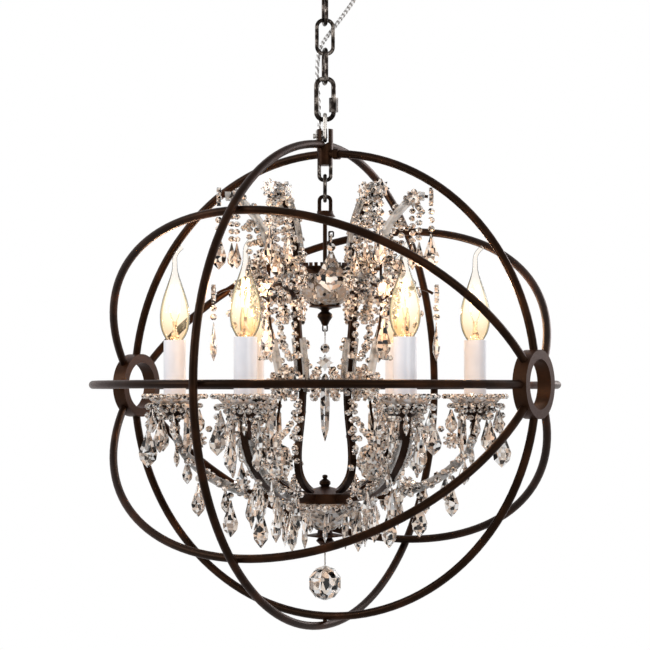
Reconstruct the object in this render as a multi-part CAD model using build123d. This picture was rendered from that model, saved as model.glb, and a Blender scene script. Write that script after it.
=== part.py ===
from build123d import *
from math import asin, cos, degrees, radians, sin, sqrt, tan
import os

os.makedirs("parts", exist_ok=True)

# An orb chandelier, hung from a ceiling. Millimetres, +Z up, origin on the ceiling face above its middle.
# X runs along the axis of the two open hubs. The six lamp arms stand at ARM_AZIMUTH and every 60 degrees on.

# ---- general
ARM_COUNT = 6
ARM_AZIMUTH = 30.0
LINK_TWIST = 10.0            # how far the ordinary links have turned from the quick link's plane
LOOSE = 0.3                  # gap between wires that hang in each other
FIT = 0.05                   # radial room round a threaded or pinned shank
PLACED = 0.2                 # gap between glass and what it is wired to

# ---- ceiling fitting
CANOPY_RADIUS = 60.0
CANOPY_DEPTH = 26.0
CANOPY_WALL = 1.2
CANOPY_EDGE = 10.0
CROSSBAR_LENGTH = 96.0
CROSSBAR_WIDTH = 22.0
CROSSBAR_THICKNESS = 2.5
BOLT_SPACING = 70.0
BOLT_HOLE_RADIUS = 2.4
NIPPLE_RADIUS = 5.0
NIPPLE_BORE_RADIUS = 3.2
COLLAR_RING_RADIUS = 12.0
COLLAR_RING_HEIGHT = 6.0
LOOP_BASE_RADIUS = 11.0
LOOP_BASE_HEIGHT = 8.0
LOOP_WIRE = 5.0
LOOP_WIDTH = 21.0
LOOP_DROP = 17.5             # loop's lowest wire centre below its base

# ---- chain
LINK_COUNT = 3
LINK_WIRE = 4.6
LINK_LENGTH = 44.5
LINK_WIDTH = 24.0
SADDLE = 3.0                 # straight stretch in the middle of each end of a link
QUICK_WIRE = 5.6
QUICK_LENGTH = 54.0
QUICK_WIDTH = 26.0
QUICK_GAP = 7.0
QUICK_NUT_LENGTH = 17.0
QUICK_NUT_ACROSS = 9.4
QUICK_NUT_ROOM = 0.1
EYE_WIRE = 4.8
EYE_LENGTH = 35.0
EYE_WIDTH = 17.8
INNER_LINK_LENGTH = 34.0
INNER_LINK_WIDTH = 19.0

# ---- collar at the top of the cage
COLLAR_RADIUS = 9.6
COLLAR_ABOVE_PIN = 8.0
COLLAR_BELOW_PIN = 34.8
COLLAR_INTO_CAGE = 13.5      # collar's lower end below the upright ring's line
COLLAR_SLOT = 8.0
COLLAR_STEP_RADIUS = 9.1
PIN_RADIUS = 2.25
THUMB_RADIUS = 3.0
THUMB_LENGTH = 2.6
THUMB_STEM = 1.6
STIRRUP_WIRE = 4.6
STIRRUP_DROP = 17.2
FERRULE_RADIUS = 6.6
FERRULE_LENGTH = 7.0
FERRULE_OFF = 3.0

# ---- cage
RING_RADIUS = 273.5
ROD = 9.5
RING_STEP = 1.3              # daylight between the meridian ring and the rings inside it
TILT = 45.0
HUB_RADIUS = 39.0
HUB_BORE_RADIUS = 28.5
HUB_WIDTH = 17.0
RIVET_RADIUS = 2.6

# ---- cord
CORD = 5.0
BUSHING_OUT = 42.0
BUSHING_RADIUS = 6.0
BUSHING_LENGTH = 8.0
GLAND_RADIUS = 4.5
GLAND_LENGTH = 12.0

# ---- crystal chandelier: heights are above its own middle plane
CROWN_HEIGHT = RING_RADIUS - 67.5
CROWN_LOOP_RISE = 17.2
CAP_RADIUS = 9.5
CAP_HEIGHT = 7.0
STEM_RADIUS = 2.5
BAR_DEPTH = 3.0
BAR_BREADTH = 8.0
CROOK_REACH = 122.0
CROOK_TOP = 223.0
CHEST_RADIUS = 67.0          # frame bars' distance from the axis beside the gallery ring
WAIST_RADIUS = 53.0
HIP_RADIUS = 64.0
GALLERY_RADIUS = 28.5
GALLERY_WALL = 2.5
GALLERY_HEIGHT = 13.0
GALLERY_BASE = 131.0
GALLERY_TEETH = 24
GALLERY_TOOTH = 4.0
HOOK_TURN = -82.0            # where the hook for the front pendant stands on the gallery ring
HOOK_REACH = 22.0
HOOK_TOP = 178.0
SPOKE_BREADTH = 5.0
SPOKE_DEPTH = 4.0
UPPER_BOWL_RADIUS = 42.0
UPPER_BOWL_RIM = 130.0
UPPER_BOWL_FOOT = 94.0
FLANGE_RADIUS = 19.0
FINIAL_RADIUS = 9.0
FINIAL_HEIGHT = 24.0
MIDDLE_REACH = 128.0
MIDDLE_TOP = 114.0
MIDDLE_BREADTH = 6.0
PAN_RADIUS = 34.0
PAN_BASE = 134.0 - RING_RADIUS
PAN_RIM = PAN_BASE + 11.5
PAN_TOP = PAN_RIM + 7.0
PAN_WALL = 2.5
LOWER_BOWL_RADIUS = 36.5
LOWER_BOWL_DEPTH = 32.0
GLASS_WALL = 3.5
BOTTOM_FLANGE_RADIUS = 21.5
BOTTOM_CAP_HEIGHT = 20.0
PAN_FINIAL_RADIUS = 8.0
PAN_FINIAL_HEIGHT = 15.0

# ---- lamp arms and candles
LAMP_RADIUS = 178.0
ARM_LOW = PAN_BASE + 7.5     # line of an arm where it leaves the pan
ARM_TOP = -44.0
ARM_STRAIGHT = 50.0          # distance from the axis where an arm begins to climb
ARM_DEPTH = 8.0
ARM_BREADTH = 10.0
ARM_WALL = 1.8
WIRE = 2.8
CUP_RADIUS = 15.0
CUP_HEIGHT = 20.0
DRIP_PAN_RADIUS = 34.5
DRIP_PAN_RISE = 11.0
DRIP_PAN_WALL = 3.0
SLEEVE_RADIUS = 13.2
SLEEVE_WALL = 1.6
SLEEVE_HEIGHT = 74.0
HOLDER_RADIUS = 10.8
HOLDER_HEIGHT = 68.0
SOCKET_RADIUS = 7.4
SOCKET_DEPTH = 27.0
BULB_RADIUS = 17.5
BULB_CAP_RADIUS = 6.9
BULB_HEIGHT = 96.0           # glass, from the sleeve's top to where the tip bends over
BULB_TIP = 14.0

# ---- glass
STRIP_DEPTH = 10.0
STRIP_THICKNESS = 2.5
BEAD = 9.0
BEAD_PITCH = 10.4
ROSETTE_RADIUS = 11.0
ROSETTE_THICKNESS = 5.0
PETALS = 8
EYELET_WIRE = 1.8
EYELET_WIDTH = 7.0
EYELET_DROP = 6.0
CROOK_PEAR = (42.0, 20.0)     # stones as length and width
MIDDLE_PEAR = (46.0, 20.0)
RIM_PEAR = (46.0, 24.0)
RIM_SIDE_PEAR = (38.0, 20.0)
RIM_PRISM = (52.0, 9.0)
ARM_PEARS = ((150.0, 40.0, 18.0), (112.0, 44.0, 20.0), (76.0, 48.0, 20.0))  # distance out, length, width
BOWL_PEAR = (34.0, 14.0)
CROWN_PEAR = (47.0, 38.0)
CROWN_BEAD = 11.0
LEAF = (38.0, 36.0)
SPEAR = (80.0, 13.0)
SPEAR_BEAD = 12.0
SPEAR_WIRE = 1.2
BALL_AIR = 13.9              # daylight under the ball, above the upright ring
BALL_SHARE = 0.356           # ball's radius as a share of the room it hangs in
SMALL_RING = 9.5
RING_WIDTH = 7.5

# ---- heights of what hangs, worked down from the ceiling
loop_base_top = -CANOPY_DEPTH - COLLAR_RING_HEIGHT
loop_wire_z = loop_base_top - LOOP_BASE_HEIGHT - LOOP_DROP
link_hang = []
above_z = loop_wire_z
above_wire = LOOP_WIRE
for number in range(LINK_COUNT):
    top_z = above_z + (above_wire + LINK_WIRE) / 2 + LOOSE
    link_hang.append(top_z)
    above_z = top_z - (LINK_LENGTH - LINK_WIRE)
    above_wire = LINK_WIRE
quick_top_z = above_z + (LINK_WIRE + QUICK_WIRE) / 2 + LOOSE
quick_low_z = quick_top_z - (QUICK_LENGTH - QUICK_WIRE)
eye_top_z = quick_low_z + (QUICK_WIRE + EYE_WIRE) / 2 + LOOSE
eye_low_z = eye_top_z - (EYE_LENGTH - EYE_WIRE)
pin_z = eye_low_z + EYE_WIRE / 2 + LOOSE + PIN_RADIUS
collar_top_z = pin_z + COLLAR_ABOVE_PIN
collar_low_z = pin_z - COLLAR_BELOW_PIN
stirrup_z = collar_low_z - STIRRUP_DROP
cage_z = collar_low_z - (RING_RADIUS - COLLAR_INTO_CAGE)
inner_top_z = stirrup_z + (STIRRUP_WIRE + LINK_WIRE) / 2 + LOOSE
inner_low_z = inner_top_z - (INNER_LINK_LENGTH - LINK_WIRE)
crown_loop_z = inner_low_z + LINK_WIRE + LOOSE
crown_z = crown_loop_z - CROWN_LOOP_RISE
lamp_z = crown_z - CROWN_HEIGHT

face_on = Rot(0, 0, ARM_AZIMUTH)
edge_on = Rot(0, 0, ARM_AZIMUTH + 90)
link_face_on = Rot(0, 0, ARM_AZIMUTH + LINK_TWIST)
link_edge_on = Rot(0, 0, ARM_AZIMUTH + LINK_TWIST + 90)
arm_turns = [Rot(0, 0, ARM_AZIMUTH + 360 / ARM_COUNT * number) for number in range(ARM_COUNT)]
lamp = Pos(0, 0, lamp_z)


# ---- shapes that repeat
def save(name, *shapes):
    """Write the solids of one node, in the common frame."""
    solids = [solid for shape in shapes for solid in shape.solids()]
    export_step(Compound(children=solids), f"parts/{name}.step")


def spun(*points):
    """A solid of revolution about Z from a closed outline of (radius, height) points."""
    return revolve(Plane.XZ * make_face(Polyline(*points, close=True)), Axis.Z)


def tube(path, diameter):
    """A round bar along an open or closed path."""
    return sweep(Plane(origin=path @ 0, z_dir=path % 0) * Circle(diameter / 2), path=path)


def oval(length, width, wire):
    """A closed link in the XZ plane, its outer length hanging from its top wire's centre at the origin."""
    across, along = width - wire, length - wire
    corner = (across - SADDLE) / 2
    outline = FilletPolyline(
        (across / 2, 0, 0),
        (-across / 2, 0, 0),
        (-across / 2, 0, -along),
        (across / 2, 0, -along),
        radius=corner,
        close=True,
    )
    return tube(outline, wire)


def staple(width, drop, wire):
    """A U of wire in the XZ plane, its legs ending at z = 0 and its lowest wire centre at z = -drop."""
    across = width - wire
    corner = (across - SADDLE) / 2
    corner = min(corner, drop - wire / 4)
    path = FilletPolyline(
        (-across / 2, 0, 0),
        (-across / 2, 0, -drop),
        (across / 2, 0, -drop),
        (across / 2, 0, 0),
        radius=corner,
    )
    return tube(path, wire)


def strap(line, depth, breadth, sideways=0.0):
    """A bar along a line in the radial plane: depth is across the line, breadth across the plane."""
    side = Plane.XZ * trace(line, line_width=depth)
    return Pos(0, sideways, 0) * extrude(side, amount=breadth / 2, both=True)


def gem(levels, sides=8, flatten=1.0):
    """A faceted stone: a regular polygon at each (height, radius) level, with flat ends."""
    turns = [360 / sides * (number + 0.5) for number in range(sides)]
    rings = [
        [(radius * cos(radians(t)), radius * flatten * sin(radians(t)), height) for t in turns]
        for height, radius in levels
    ]
    faces = [Face(Wire.make_polygon(rings[0])), Face(Wire.make_polygon(rings[-1]))]
    for low, high in zip(rings, rings[1:]):
        for number in range(sides):
            after = (number + 1) % sides
            faces.append(Face(Wire.make_polygon([low[number], low[after], high[after], high[number]])))
    return Solid(Shell(faces))


def bead(size=BEAD):
    """A faceted bead about the origin."""
    half = size / 2
    shares = [(-0.8, 0.5), (-0.25, 1.0), (0.25, 1.0), (0.8, 0.5)]
    return gem([(half * up, half * out) for up, out in shares], 6)


def pear(length, width, flatten=0.45):
    """A pear drop hanging from the origin."""
    half = width / 2
    shares = [(0.0, 0.12), (0.16, 0.3), (0.62, 1.0), (0.8, 0.86), (1.0, 0.06)]
    return gem([(-length * down, half * out) for down, out in shares], 8, flatten)


def prism(length, width):
    """A slender six-sided drop hanging from the origin."""
    half = width / 2
    shares = [(0.0, 0.2), (0.08, 0.75), (0.75, 1.0), (1.0, 0.08)]
    return gem([(-length * down, half * out) for down, out in shares], 6)


def rosette(radius=ROSETTE_RADIUS, thickness=ROSETTE_THICKNESS):
    """A flower of glass about the origin, facing along X."""
    tips = [radius if number % 2 == 0 else 0.62 * radius for number in range(2 * PETALS)]
    turns = [radians(180 / PETALS * number) for number in range(2 * PETALS)]
    outline = Polyline(*[(tip * cos(turn), tip * sin(turn)) for turn, tip in zip(turns, tips)], close=True)
    return extrude(Plane.YZ * make_face(outline), amount=thickness / 2, both=True)


def string(x, y, top, count):
    """Beads one under another, the first hanging just below a height."""
    return [Pos(x, y, top - BEAD_PITCH * (number + 0.5)) * bead() for number in range(count)]


def beside(line, share, off):
    """The point a distance off a line in the radial plane, a share of the way along it, as x and z."""
    ahead = (line % share).normalized()
    place = line @ share
    return place.X - ahead.Y * off, place.Y + ahead.X * off


# ---- ceiling fitting
def make_ceiling_fitting():
    crossbar = Pos(0, 0, -CROSSBAR_THICKNESS / 2) * Box(CROSSBAR_LENGTH, CROSSBAR_WIDTH, CROSSBAR_THICKNESS)
    for side in (-1, 1):
        crossbar -= Pos(side * BOLT_SPACING / 2, 0, 0) * Cylinder(BOLT_HOLE_RADIUS, 4 * CROSSBAR_THICKNESS)
    crossbar -= Cylinder(NIPPLE_RADIUS + FIT, 4 * CROSSBAR_THICKNESS)
    save("ceiling_crossbar", crossbar)

    nipple_top = -CROSSBAR_THICKNESS / 4
    nipple_low = loop_base_top - 0.7 * LOOP_BASE_HEIGHT
    nipple_length = nipple_top - nipple_low
    nipple = Pos(0, 0, (nipple_top + nipple_low) / 2) * (
        Cylinder(NIPPLE_RADIUS, nipple_length) - Cylinder(NIPPLE_BORE_RADIUS, nipple_length)
    )
    save("hanger_nipple", nipple)

    edge = CANOPY_EDGE
    inner_edge = edge - CANOPY_WALL
    outer = Pos(0, 0, -CANOPY_DEPTH / 2) * Cylinder(CANOPY_RADIUS, CANOPY_DEPTH)
    outer = fillet(outer.edges().group_by(Axis.Z)[0], edge)
    inner_depth = CANOPY_DEPTH - CANOPY_WALL
    inner = Pos(0, 0, -inner_depth / 2) * Cylinder(CANOPY_RADIUS - CANOPY_WALL, inner_depth)
    inner = fillet(inner.edges().group_by(Axis.Z)[0], inner_edge)
    bushing_place = face_on * Pos(BUSHING_OUT, 0, -CANOPY_DEPTH)
    neck_radius = BUSHING_RADIUS - 2 * CANOPY_WALL
    canopy = outer - inner - Pos(0, 0, -CANOPY_DEPTH) * Cylinder(NIPPLE_RADIUS + FIT, 4 * CANOPY_WALL)
    canopy -= bushing_place * Cylinder(neck_radius, 4 * CANOPY_WALL)
    save("canopy_cup", canopy)

    ring_z = -CANOPY_DEPTH - COLLAR_RING_HEIGHT / 2
    ring = Pos(0, 0, ring_z) * Cylinder(COLLAR_RING_RADIUS, COLLAR_RING_HEIGHT)
    ring = fillet(ring.edges().filter_by(GeomType.CIRCLE), COLLAR_RING_HEIGHT / 4)
    ring -= Pos(0, 0, -CANOPY_DEPTH) * Cylinder(NIPPLE_RADIUS + FIT, 4 * COLLAR_RING_HEIGHT)
    save("collar_ring", ring)

    base = Pos(0, 0, loop_base_top - LOOP_BASE_HEIGHT / 2) * Cylinder(LOOP_BASE_RADIUS, LOOP_BASE_HEIGHT)
    bore_depth = 0.75 * LOOP_BASE_HEIGHT
    base -= Pos(0, 0, loop_base_top - bore_depth / 2) * Cylinder(NIPPLE_RADIUS + FIT, bore_depth)
    loop_place = Pos(0, 0, loop_base_top - LOOP_BASE_HEIGHT) * link_face_on
    loop = loop_place * staple(LOOP_WIDTH, LOOP_DROP, LOOP_WIRE)
    save("canopy_loop", base + loop)

    below = bushing_place * Pos(0, 0, -BUSHING_LENGTH / 2) * Cylinder(BUSHING_RADIUS, BUSHING_LENGTH)
    neck = bushing_place * Pos(0, 0, CANOPY_WALL) * Cylinder(neck_radius - FIT, 2 * CANOPY_WALL)
    save("cord_bushing", below + neck)


# ---- chain and quick link
def make_chain():
    for number, top_z in enumerate(link_hang):
        turn = link_face_on if number % 2 else link_edge_on
        save(f"chain_link_{number + 1}", Pos(0, 0, top_z) * turn * oval(LINK_LENGTH, LINK_WIDTH, LINK_WIRE))

    leg_x = (QUICK_WIDTH - QUICK_WIRE) / 2
    leg_low = quick_low_z + (QUICK_WIDTH - QUICK_WIRE - SADDLE) / 2
    gap_low = leg_low + (QUICK_NUT_LENGTH - QUICK_GAP) / 4
    gap = Pos(leg_x, 0, gap_low + QUICK_GAP / 2) * Box(2 * QUICK_WIRE, 2 * QUICK_WIRE, QUICK_GAP)
    body = Pos(0, 0, quick_top_z) * oval(QUICK_LENGTH, QUICK_WIDTH, QUICK_WIRE) - gap
    save("quick_link", face_on * body)

    hexagon = RegularPolygon(QUICK_NUT_ACROSS / 2, 6, major_radius=False)
    hexagon -= Circle(QUICK_WIRE / 2 + QUICK_NUT_ROOM)
    nut = Pos(leg_x, 0, leg_low) * extrude(hexagon, amount=QUICK_NUT_LENGTH)
    save("quick_link_nut", face_on * nut)

    eye = Pos(0, 0, eye_top_z) * oval(EYE_LENGTH, EYE_WIDTH, EYE_WIRE)
    save("hanger_eye", edge_on * eye)

    inner_link = Pos(0, 0, inner_top_z) * oval(INNER_LINK_LENGTH, INNER_LINK_WIDTH, LINK_WIRE)
    save("inner_link", edge_on * inner_link)


# ---- collar, its screw and the stirrup
collar_height = COLLAR_ABOVE_PIN + COLLAR_BELOW_PIN
collar_blank = Pos(0, 0, (collar_top_z + collar_low_z) / 2) * Cylinder(COLLAR_RADIUS, collar_height)
gland_place = face_on * Pos(-6.5, COLLAR_RADIUS + 1.6, collar_top_z - GLAND_LENGTH / 2)


def make_collar():
    slot_low = pin_z - EYE_WIDTH / 2 - 3 * LOOSE
    slot_depth = collar_top_z - slot_low
    slot = Pos(0, 0, (collar_top_z + slot_low) / 2) * Box(COLLAR_SLOT, 4 * COLLAR_RADIUS, slot_depth)
    lower_height = collar_height * 0.38
    waste = Cylinder(2 * COLLAR_RADIUS, lower_height) - Cylinder(COLLAR_STEP_RADIUS, lower_height)
    pin_hole = Pos(0, 0, pin_z) * Rot(0, 90, 0) * Cylinder(PIN_RADIUS + FIT, 4 * COLLAR_RADIUS)
    tail = Pos(0.8 * COLLAR_RADIUS, 0, pin_z) * Box(COLLAR_RADIUS, COLLAR_RADIUS, COLLAR_RADIUS)
    collar = face_on.inverse() * collar_blank - slot - (pin_hole - tail)
    collar -= Pos(0, 0, collar_low_z + lower_height / 2) * waste
    save("top_collar", face_on * collar)

    shank_end = 0.3 * COLLAR_RADIUS - FIT
    head_start = -COLLAR_RADIUS - LOOSE - THUMB_STEM
    shank_place = Pos((shank_end + head_start) / 2, 0, pin_z) * Rot(0, 90, 0)
    shank = shank_place * Cylinder(PIN_RADIUS, shank_end - head_start)
    head = Pos(head_start - THUMB_LENGTH / 2, 0, pin_z) * Rot(0, 90, 0) * Cylinder(THUMB_RADIUS, THUMB_LENGTH)
    wing = Pos(head_start - THUMB_LENGTH / 2, 0, pin_z) * Box(THUMB_LENGTH, 3.2 * THUMB_RADIUS, THUMB_LENGTH)
    save("thumb_screw", face_on * (shank + head + wing))

    stirrup = Pos(0, 0, collar_low_z) * staple(2 * COLLAR_STEP_RADIUS, STIRRUP_DROP, STIRRUP_WIRE)
    save("stirrup", face_on * stirrup)

    gland = gland_place * Cylinder(GLAND_RADIUS, GLAND_LENGTH)
    save("cord_gland", gland - collar_blank)


# ---- cage
outer_ring_radius = RING_RADIUS + ROD + RING_STEP
cage = Pos(0, 0, cage_z)
hub_angle = degrees(asin(HUB_RADIUS / RING_RADIUS))
hub_centre = RING_RADIUS * cos(radians(hub_angle))


def hub_blank(side):
    return cage * Pos(side * hub_centre, 0, 0) * Rot(0, 90, 0) * Cylinder(HUB_RADIUS, HUB_WIDTH)


def arc_rod(radius, start, sweep_angle):
    """A round rod bent along an arc about Y, its angles measured from +X towards +Z."""
    line = Plane.XZ * CenterArc((0, 0), radius, start, sweep_angle)
    return tube(line, ROD)


crossings = [0, 180, TILT, -TILT, 180 - TILT, 180 + TILT, 90]
rivets = [
    cage * Rot(-angle, 0, 0) * Rot(-90, 0, 0) * Pos(0, 0, (RING_RADIUS + outer_ring_radius) / 2)
    * Cylinder(RIVET_RADIUS, RING_STEP + ROD)
    for angle in crossings
]


def bored(rod):
    for rivet in rivets:
        rod -= rivet
    return rod


def make_cage():
    hubs = {side: hub_blank(side) for side in (-1, 1)}
    bore = cage * Rot(0, 90, 0) * Cylinder(HUB_BORE_RADIUS, 4 * RING_RADIUS)
    save("hub_left", hubs[-1] - bore)
    save("hub_right", hubs[1] - bore)
    ends = hubs[-1] + hubs[1]
    half = arc_rod(RING_RADIUS, hub_angle / 2, 180 - hub_angle)
    for name, tilt in (("ring_tilt_left", TILT), ("ring_tilt_right", -TILT), ("ring_equator", 90)):
        arcs = [cage * Rot(tilt + turn, 0, 0) * half - ends for turn in (0, 180)]
        save(name, *[bored(arc) for arc in arcs])
    lower = cage * Rot(180, 0, 0) * half - ends
    upper = cage * half - ends - collar_blank
    save("ring_upright", bored(lower), upper)
    inside_collar = degrees(asin(COLLAR_RADIUS / 2 / outer_ring_radius))
    meridian = cage * Rot(0, 0, 90) * arc_rod(outer_ring_radius, 90 + inside_collar, 360 - 2 * inside_collar)
    save("ring_meridian", bored(meridian - collar_blank))
    save("ring_rivets", *rivets)

    start = degrees(asin((COLLAR_RADIUS + FERRULE_OFF) / RING_RADIUS))
    span = degrees(FERRULE_LENGTH / RING_RADIUS)
    line = Plane.XZ * CenterArc((0, 0), RING_RADIUS, 90 - start - span, span)
    ferrule = tube(line, 2 * FERRULE_RADIUS) - tube(line, ROD)
    save("ring_ferrule", cage * ferrule)


# ---- frame of the crystal chandelier
frame_line = Spline(
    (CROOK_REACH, CROOK_TOP),
    (CROOK_REACH - 17, CROOK_TOP - 2),
    (CROOK_REACH - 34, CROOK_TOP - 17),
    (CHEST_RADIUS + 7, CROOK_TOP - 37),
    (CHEST_RADIUS, CROOK_TOP - 63),
    (CHEST_RADIUS, CROOK_TOP - 123),
    (WAIST_RADIUS + 8, 50),
    (WAIST_RADIUS, 0),
    (HIP_RADIUS - 6, PAN_RIM + 78),
    (HIP_RADIUS, PAN_RIM + 44),
    (HIP_RADIUS - 5, PAN_RIM + 20),
    (PAN_RADIUS + 11, PAN_RIM + 7.5),
    (PAN_RADIUS - 2, PAN_RIM + 2.2),
)
frame_bar = strap(frame_line, BAR_DEPTH, BAR_BREADTH)
pan = spun(
    (STEM_RADIUS + FIT, PAN_TOP),
    (PAN_FINIAL_RADIUS, PAN_TOP),
    (PAN_RADIUS, PAN_RIM),
    (PAN_RADIUS, PAN_BASE),
    (PAN_RADIUS - PAN_WALL, PAN_BASE),
    (PAN_RADIUS - PAN_WALL, PAN_RIM - PAN_WALL),
    (PAN_FINIAL_RADIUS, PAN_TOP - PAN_WALL),
    (STEM_RADIUS + FIT, PAN_TOP - PAN_WALL),
)
spoke_z = GALLERY_BASE + GALLERY_HEIGHT / 2


def reach_at(line, height):
    """How far from the axis a falling line in the radial plane stands at a height."""
    above, below = 0.0, 1.0
    for _ in range(30):
        middle = (above + below) / 2
        if (line @ middle).Y > height:
            above = middle
        else:
            below = middle
    return (line @ below).X


def make_frame():
    loop = Rot(180, 0, 0) * staple(2 * CAP_RADIUS - 1.2, CROWN_LOOP_RISE, LINK_WIRE)
    cap = spun(
        (0, 0), (CAP_RADIUS, 0), (CAP_RADIUS, -CAP_HEIGHT / 3), (CAP_RADIUS * 1.3, -CAP_HEIGHT),
        (STEM_RADIUS + FIT, -CAP_HEIGHT), (STEM_RADIUS + FIT, -CAP_HEIGHT / 2), (0, -CAP_HEIGHT / 2),
    )
    save("crown_cap", Pos(0, 0, crown_z) * face_on * (loop + cap))

    stem_top = CROWN_HEIGHT - 0.55 * CAP_HEIGHT
    stem_low = UPPER_BOWL_FOOT - 0.3 * FINIAL_HEIGHT
    stem = Pos(0, 0, (stem_top + stem_low) / 2) * Cylinder(STEM_RADIUS, stem_top - stem_low)
    save("centre_stem", lamp * stem)

    bar = frame_bar - pan
    save("frame_bars", *[lamp * turn * bar for turn in arm_turns])

    spoke_length = reach_at(frame_line, spoke_z)
    spoke = Pos(spoke_length / 2, 0, spoke_z) * Box(spoke_length, SPOKE_BREADTH, SPOKE_DEPTH) - frame_bar
    spider = Pos(0, 0, spoke_z) * Cylinder(3.4 * STEM_RADIUS, SPOKE_DEPTH)
    for turn in arm_turns:
        spider += turn * spoke
    spider -= Pos(0, 0, spoke_z) * Cylinder(STEM_RADIUS + FIT, 4 * SPOKE_DEPTH)
    save("frame_spider", lamp * spider)

    gallery = Pos(0, 0, GALLERY_BASE + GALLERY_HEIGHT / 2) * (
        Cylinder(GALLERY_RADIUS, GALLERY_HEIGHT) - Cylinder(GALLERY_RADIUS - GALLERY_WALL, GALLERY_HEIGHT)
    )
    notch = Pos(GALLERY_RADIUS, 0, GALLERY_BASE + GALLERY_HEIGHT) * Box(
        4 * GALLERY_WALL, 3.14 * GALLERY_RADIUS / GALLERY_TEETH, 2 * GALLERY_TOOTH
    )
    for number in range(GALLERY_TEETH):
        gallery -= Rot(0, 0, 360 / GALLERY_TEETH * number) * notch
    hook_path = FilletPolyline(
        (GALLERY_RADIUS - GALLERY_WALL / 2, 0, GALLERY_BASE + EYELET_WIRE),
        (GALLERY_RADIUS + HOOK_REACH / 4, 0, GALLERY_BASE + EYELET_WIRE),
        (GALLERY_RADIUS + HOOK_REACH / 4, 0, HOOK_TOP),
        (GALLERY_RADIUS + HOOK_REACH, 0, HOOK_TOP),
        radius=2 * EYELET_WIRE,
    )
    hook_end = Pos(GALLERY_RADIUS + HOOK_REACH, 0, HOOK_TOP) * Rot(0, 0, 90)
    hook = tube(hook_path, EYELET_WIRE)
    hook += hook_end * oval(EYELET_DROP + EYELET_WIRE, EYELET_WIDTH, EYELET_WIRE)
    save("gallery_ring", lamp * (gallery - spider + face_on * Rot(0, 0, HOOK_TURN) * hook))

    foot = UPPER_BOWL_FOOT
    rise = UPPER_BOWL_RIM - foot
    wide = UPPER_BOWL_RADIUS
    bowl = spun(
        (STEM_RADIUS + FIT, foot),
        (0.4 * wide, foot),
        (0.7 * wide, foot + 0.25 * rise),
        (0.92 * wide, foot + 0.6 * rise),
        (wide, foot + rise),
        (wide - GLASS_WALL, foot + rise),
        (0.92 * wide - GLASS_WALL, foot + 0.65 * rise),
        (0.66 * wide, foot + 0.25 * rise + GLASS_WALL),
        (0.36 * wide, foot + GLASS_WALL),
        (STEM_RADIUS + FIT, foot + GLASS_WALL),
    )
    save("upper_bowl", lamp * bowl)

    shares = [(1.0, 0.14), (0.6, 0.2), (0.5, 0.28), (0.95, 0.42), (1.0, 0.56), (0.6, 0.78)]
    shares += [(0.35, 1.0), (0.0, 1.0)]
    finial = spun(
        (STEM_RADIUS + FIT, foot), (FLANGE_RADIUS, foot), (FLANGE_RADIUS, foot - 0.08 * FINIAL_HEIGHT),
        *[(FINIAL_RADIUS * out, foot - FINIAL_HEIGHT * down) for out, down in shares],
        (0, foot - 0.32 * FINIAL_HEIGHT), (STEM_RADIUS + FIT, foot - 0.32 * FINIAL_HEIGHT),
    )
    finial += Pos(0, 0, foot - FINIAL_HEIGHT) * face_on * staple(EYELET_WIDTH, EYELET_DROP, EYELET_WIRE)
    save("upper_finial", lamp * finial)

    middle_line = Spline(
        (CHEST_RADIUS, MIDDLE_TOP - 14), (CHEST_RADIUS + 22, MIDDLE_TOP - 2),
        (MIDDLE_REACH - 14, MIDDLE_TOP), (MIDDLE_REACH, MIDDLE_TOP - 6),
    )
    middle = strap(middle_line, BAR_DEPTH, MIDDLE_BREADTH) - frame_bar
    save("middle_arms", *[lamp * turn * middle for turn in arm_turns])


# ---- lower pan, bowl and cap on their tie rod
lower_bowl_top = PAN_BASE
lower_bowl_low = lower_bowl_top - LOWER_BOWL_DEPTH
bottom_low = lower_bowl_low - BOTTOM_CAP_HEIGHT


def make_bottom():
    save("lower_pan", lamp * pan)
    radius, height, top = PAN_FINIAL_RADIUS, PAN_FINIAL_HEIGHT, PAN_TOP
    rod_low = lower_bowl_low - 0.6 * BOTTOM_CAP_HEIGHT
    finial = spun(
        (0, top + height), (0.35 * radius, top + 0.95 * height), (0.42 * radius, top + 0.8 * height),
        (0.28 * radius, top + 0.68 * height), (0.8 * radius, top + 0.45 * height),
        (0.85 * radius, top + 0.25 * height), (0.6 * radius, top + 0.08 * height),
        (0.95 * radius, top), (STEM_RADIUS, top), (STEM_RADIUS, rod_low),
        (0, rod_low),
    )
    save("pan_finial", lamp * finial)

    rim, low, wide = lower_bowl_top, lower_bowl_low, LOWER_BOWL_RADIUS
    depth = LOWER_BOWL_DEPTH
    bowl = spun(
        (STEM_RADIUS + FIT, low), (0.3 * wide, low), (0.6 * wide, low + 0.3 * depth),
        (0.95 * wide, low + 0.7 * depth), (wide, rim), (wide - GLASS_WALL, rim),
        (0.95 * wide - GLASS_WALL, low + 0.72 * depth),
        (0.58 * wide - GLASS_WALL, low + 0.4 * depth), (0.28 * wide, low + GLASS_WALL),
        (STEM_RADIUS + FIT, low + GLASS_WALL),
    )
    save("lower_bowl", lamp * bowl)

    height, wide = BOTTOM_CAP_HEIGHT, BOTTOM_FLANGE_RADIUS
    bore_low = low - 0.65 * height
    cap = spun(
        (STEM_RADIUS + FIT, low), (0.4 * wide, low), (0.42 * wide, low - 0.18 * height),
        (wide, low - 0.3 * height), (wide, low - 0.38 * height),
        (0.38 * wide, low - 0.48 * height), (0.5 * wide, low - 0.66 * height),
        (0.3 * wide, low - 0.86 * height), (0.2 * wide, low - height), (0, low - height), (0, bore_low),
        (STEM_RADIUS + FIT, bore_low),
    )
    cap += Pos(0, 0, low - height) * face_on * staple(EYELET_WIDTH, EYELET_DROP, EYELET_WIRE)
    save("bottom_cap", lamp * cap)


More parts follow.
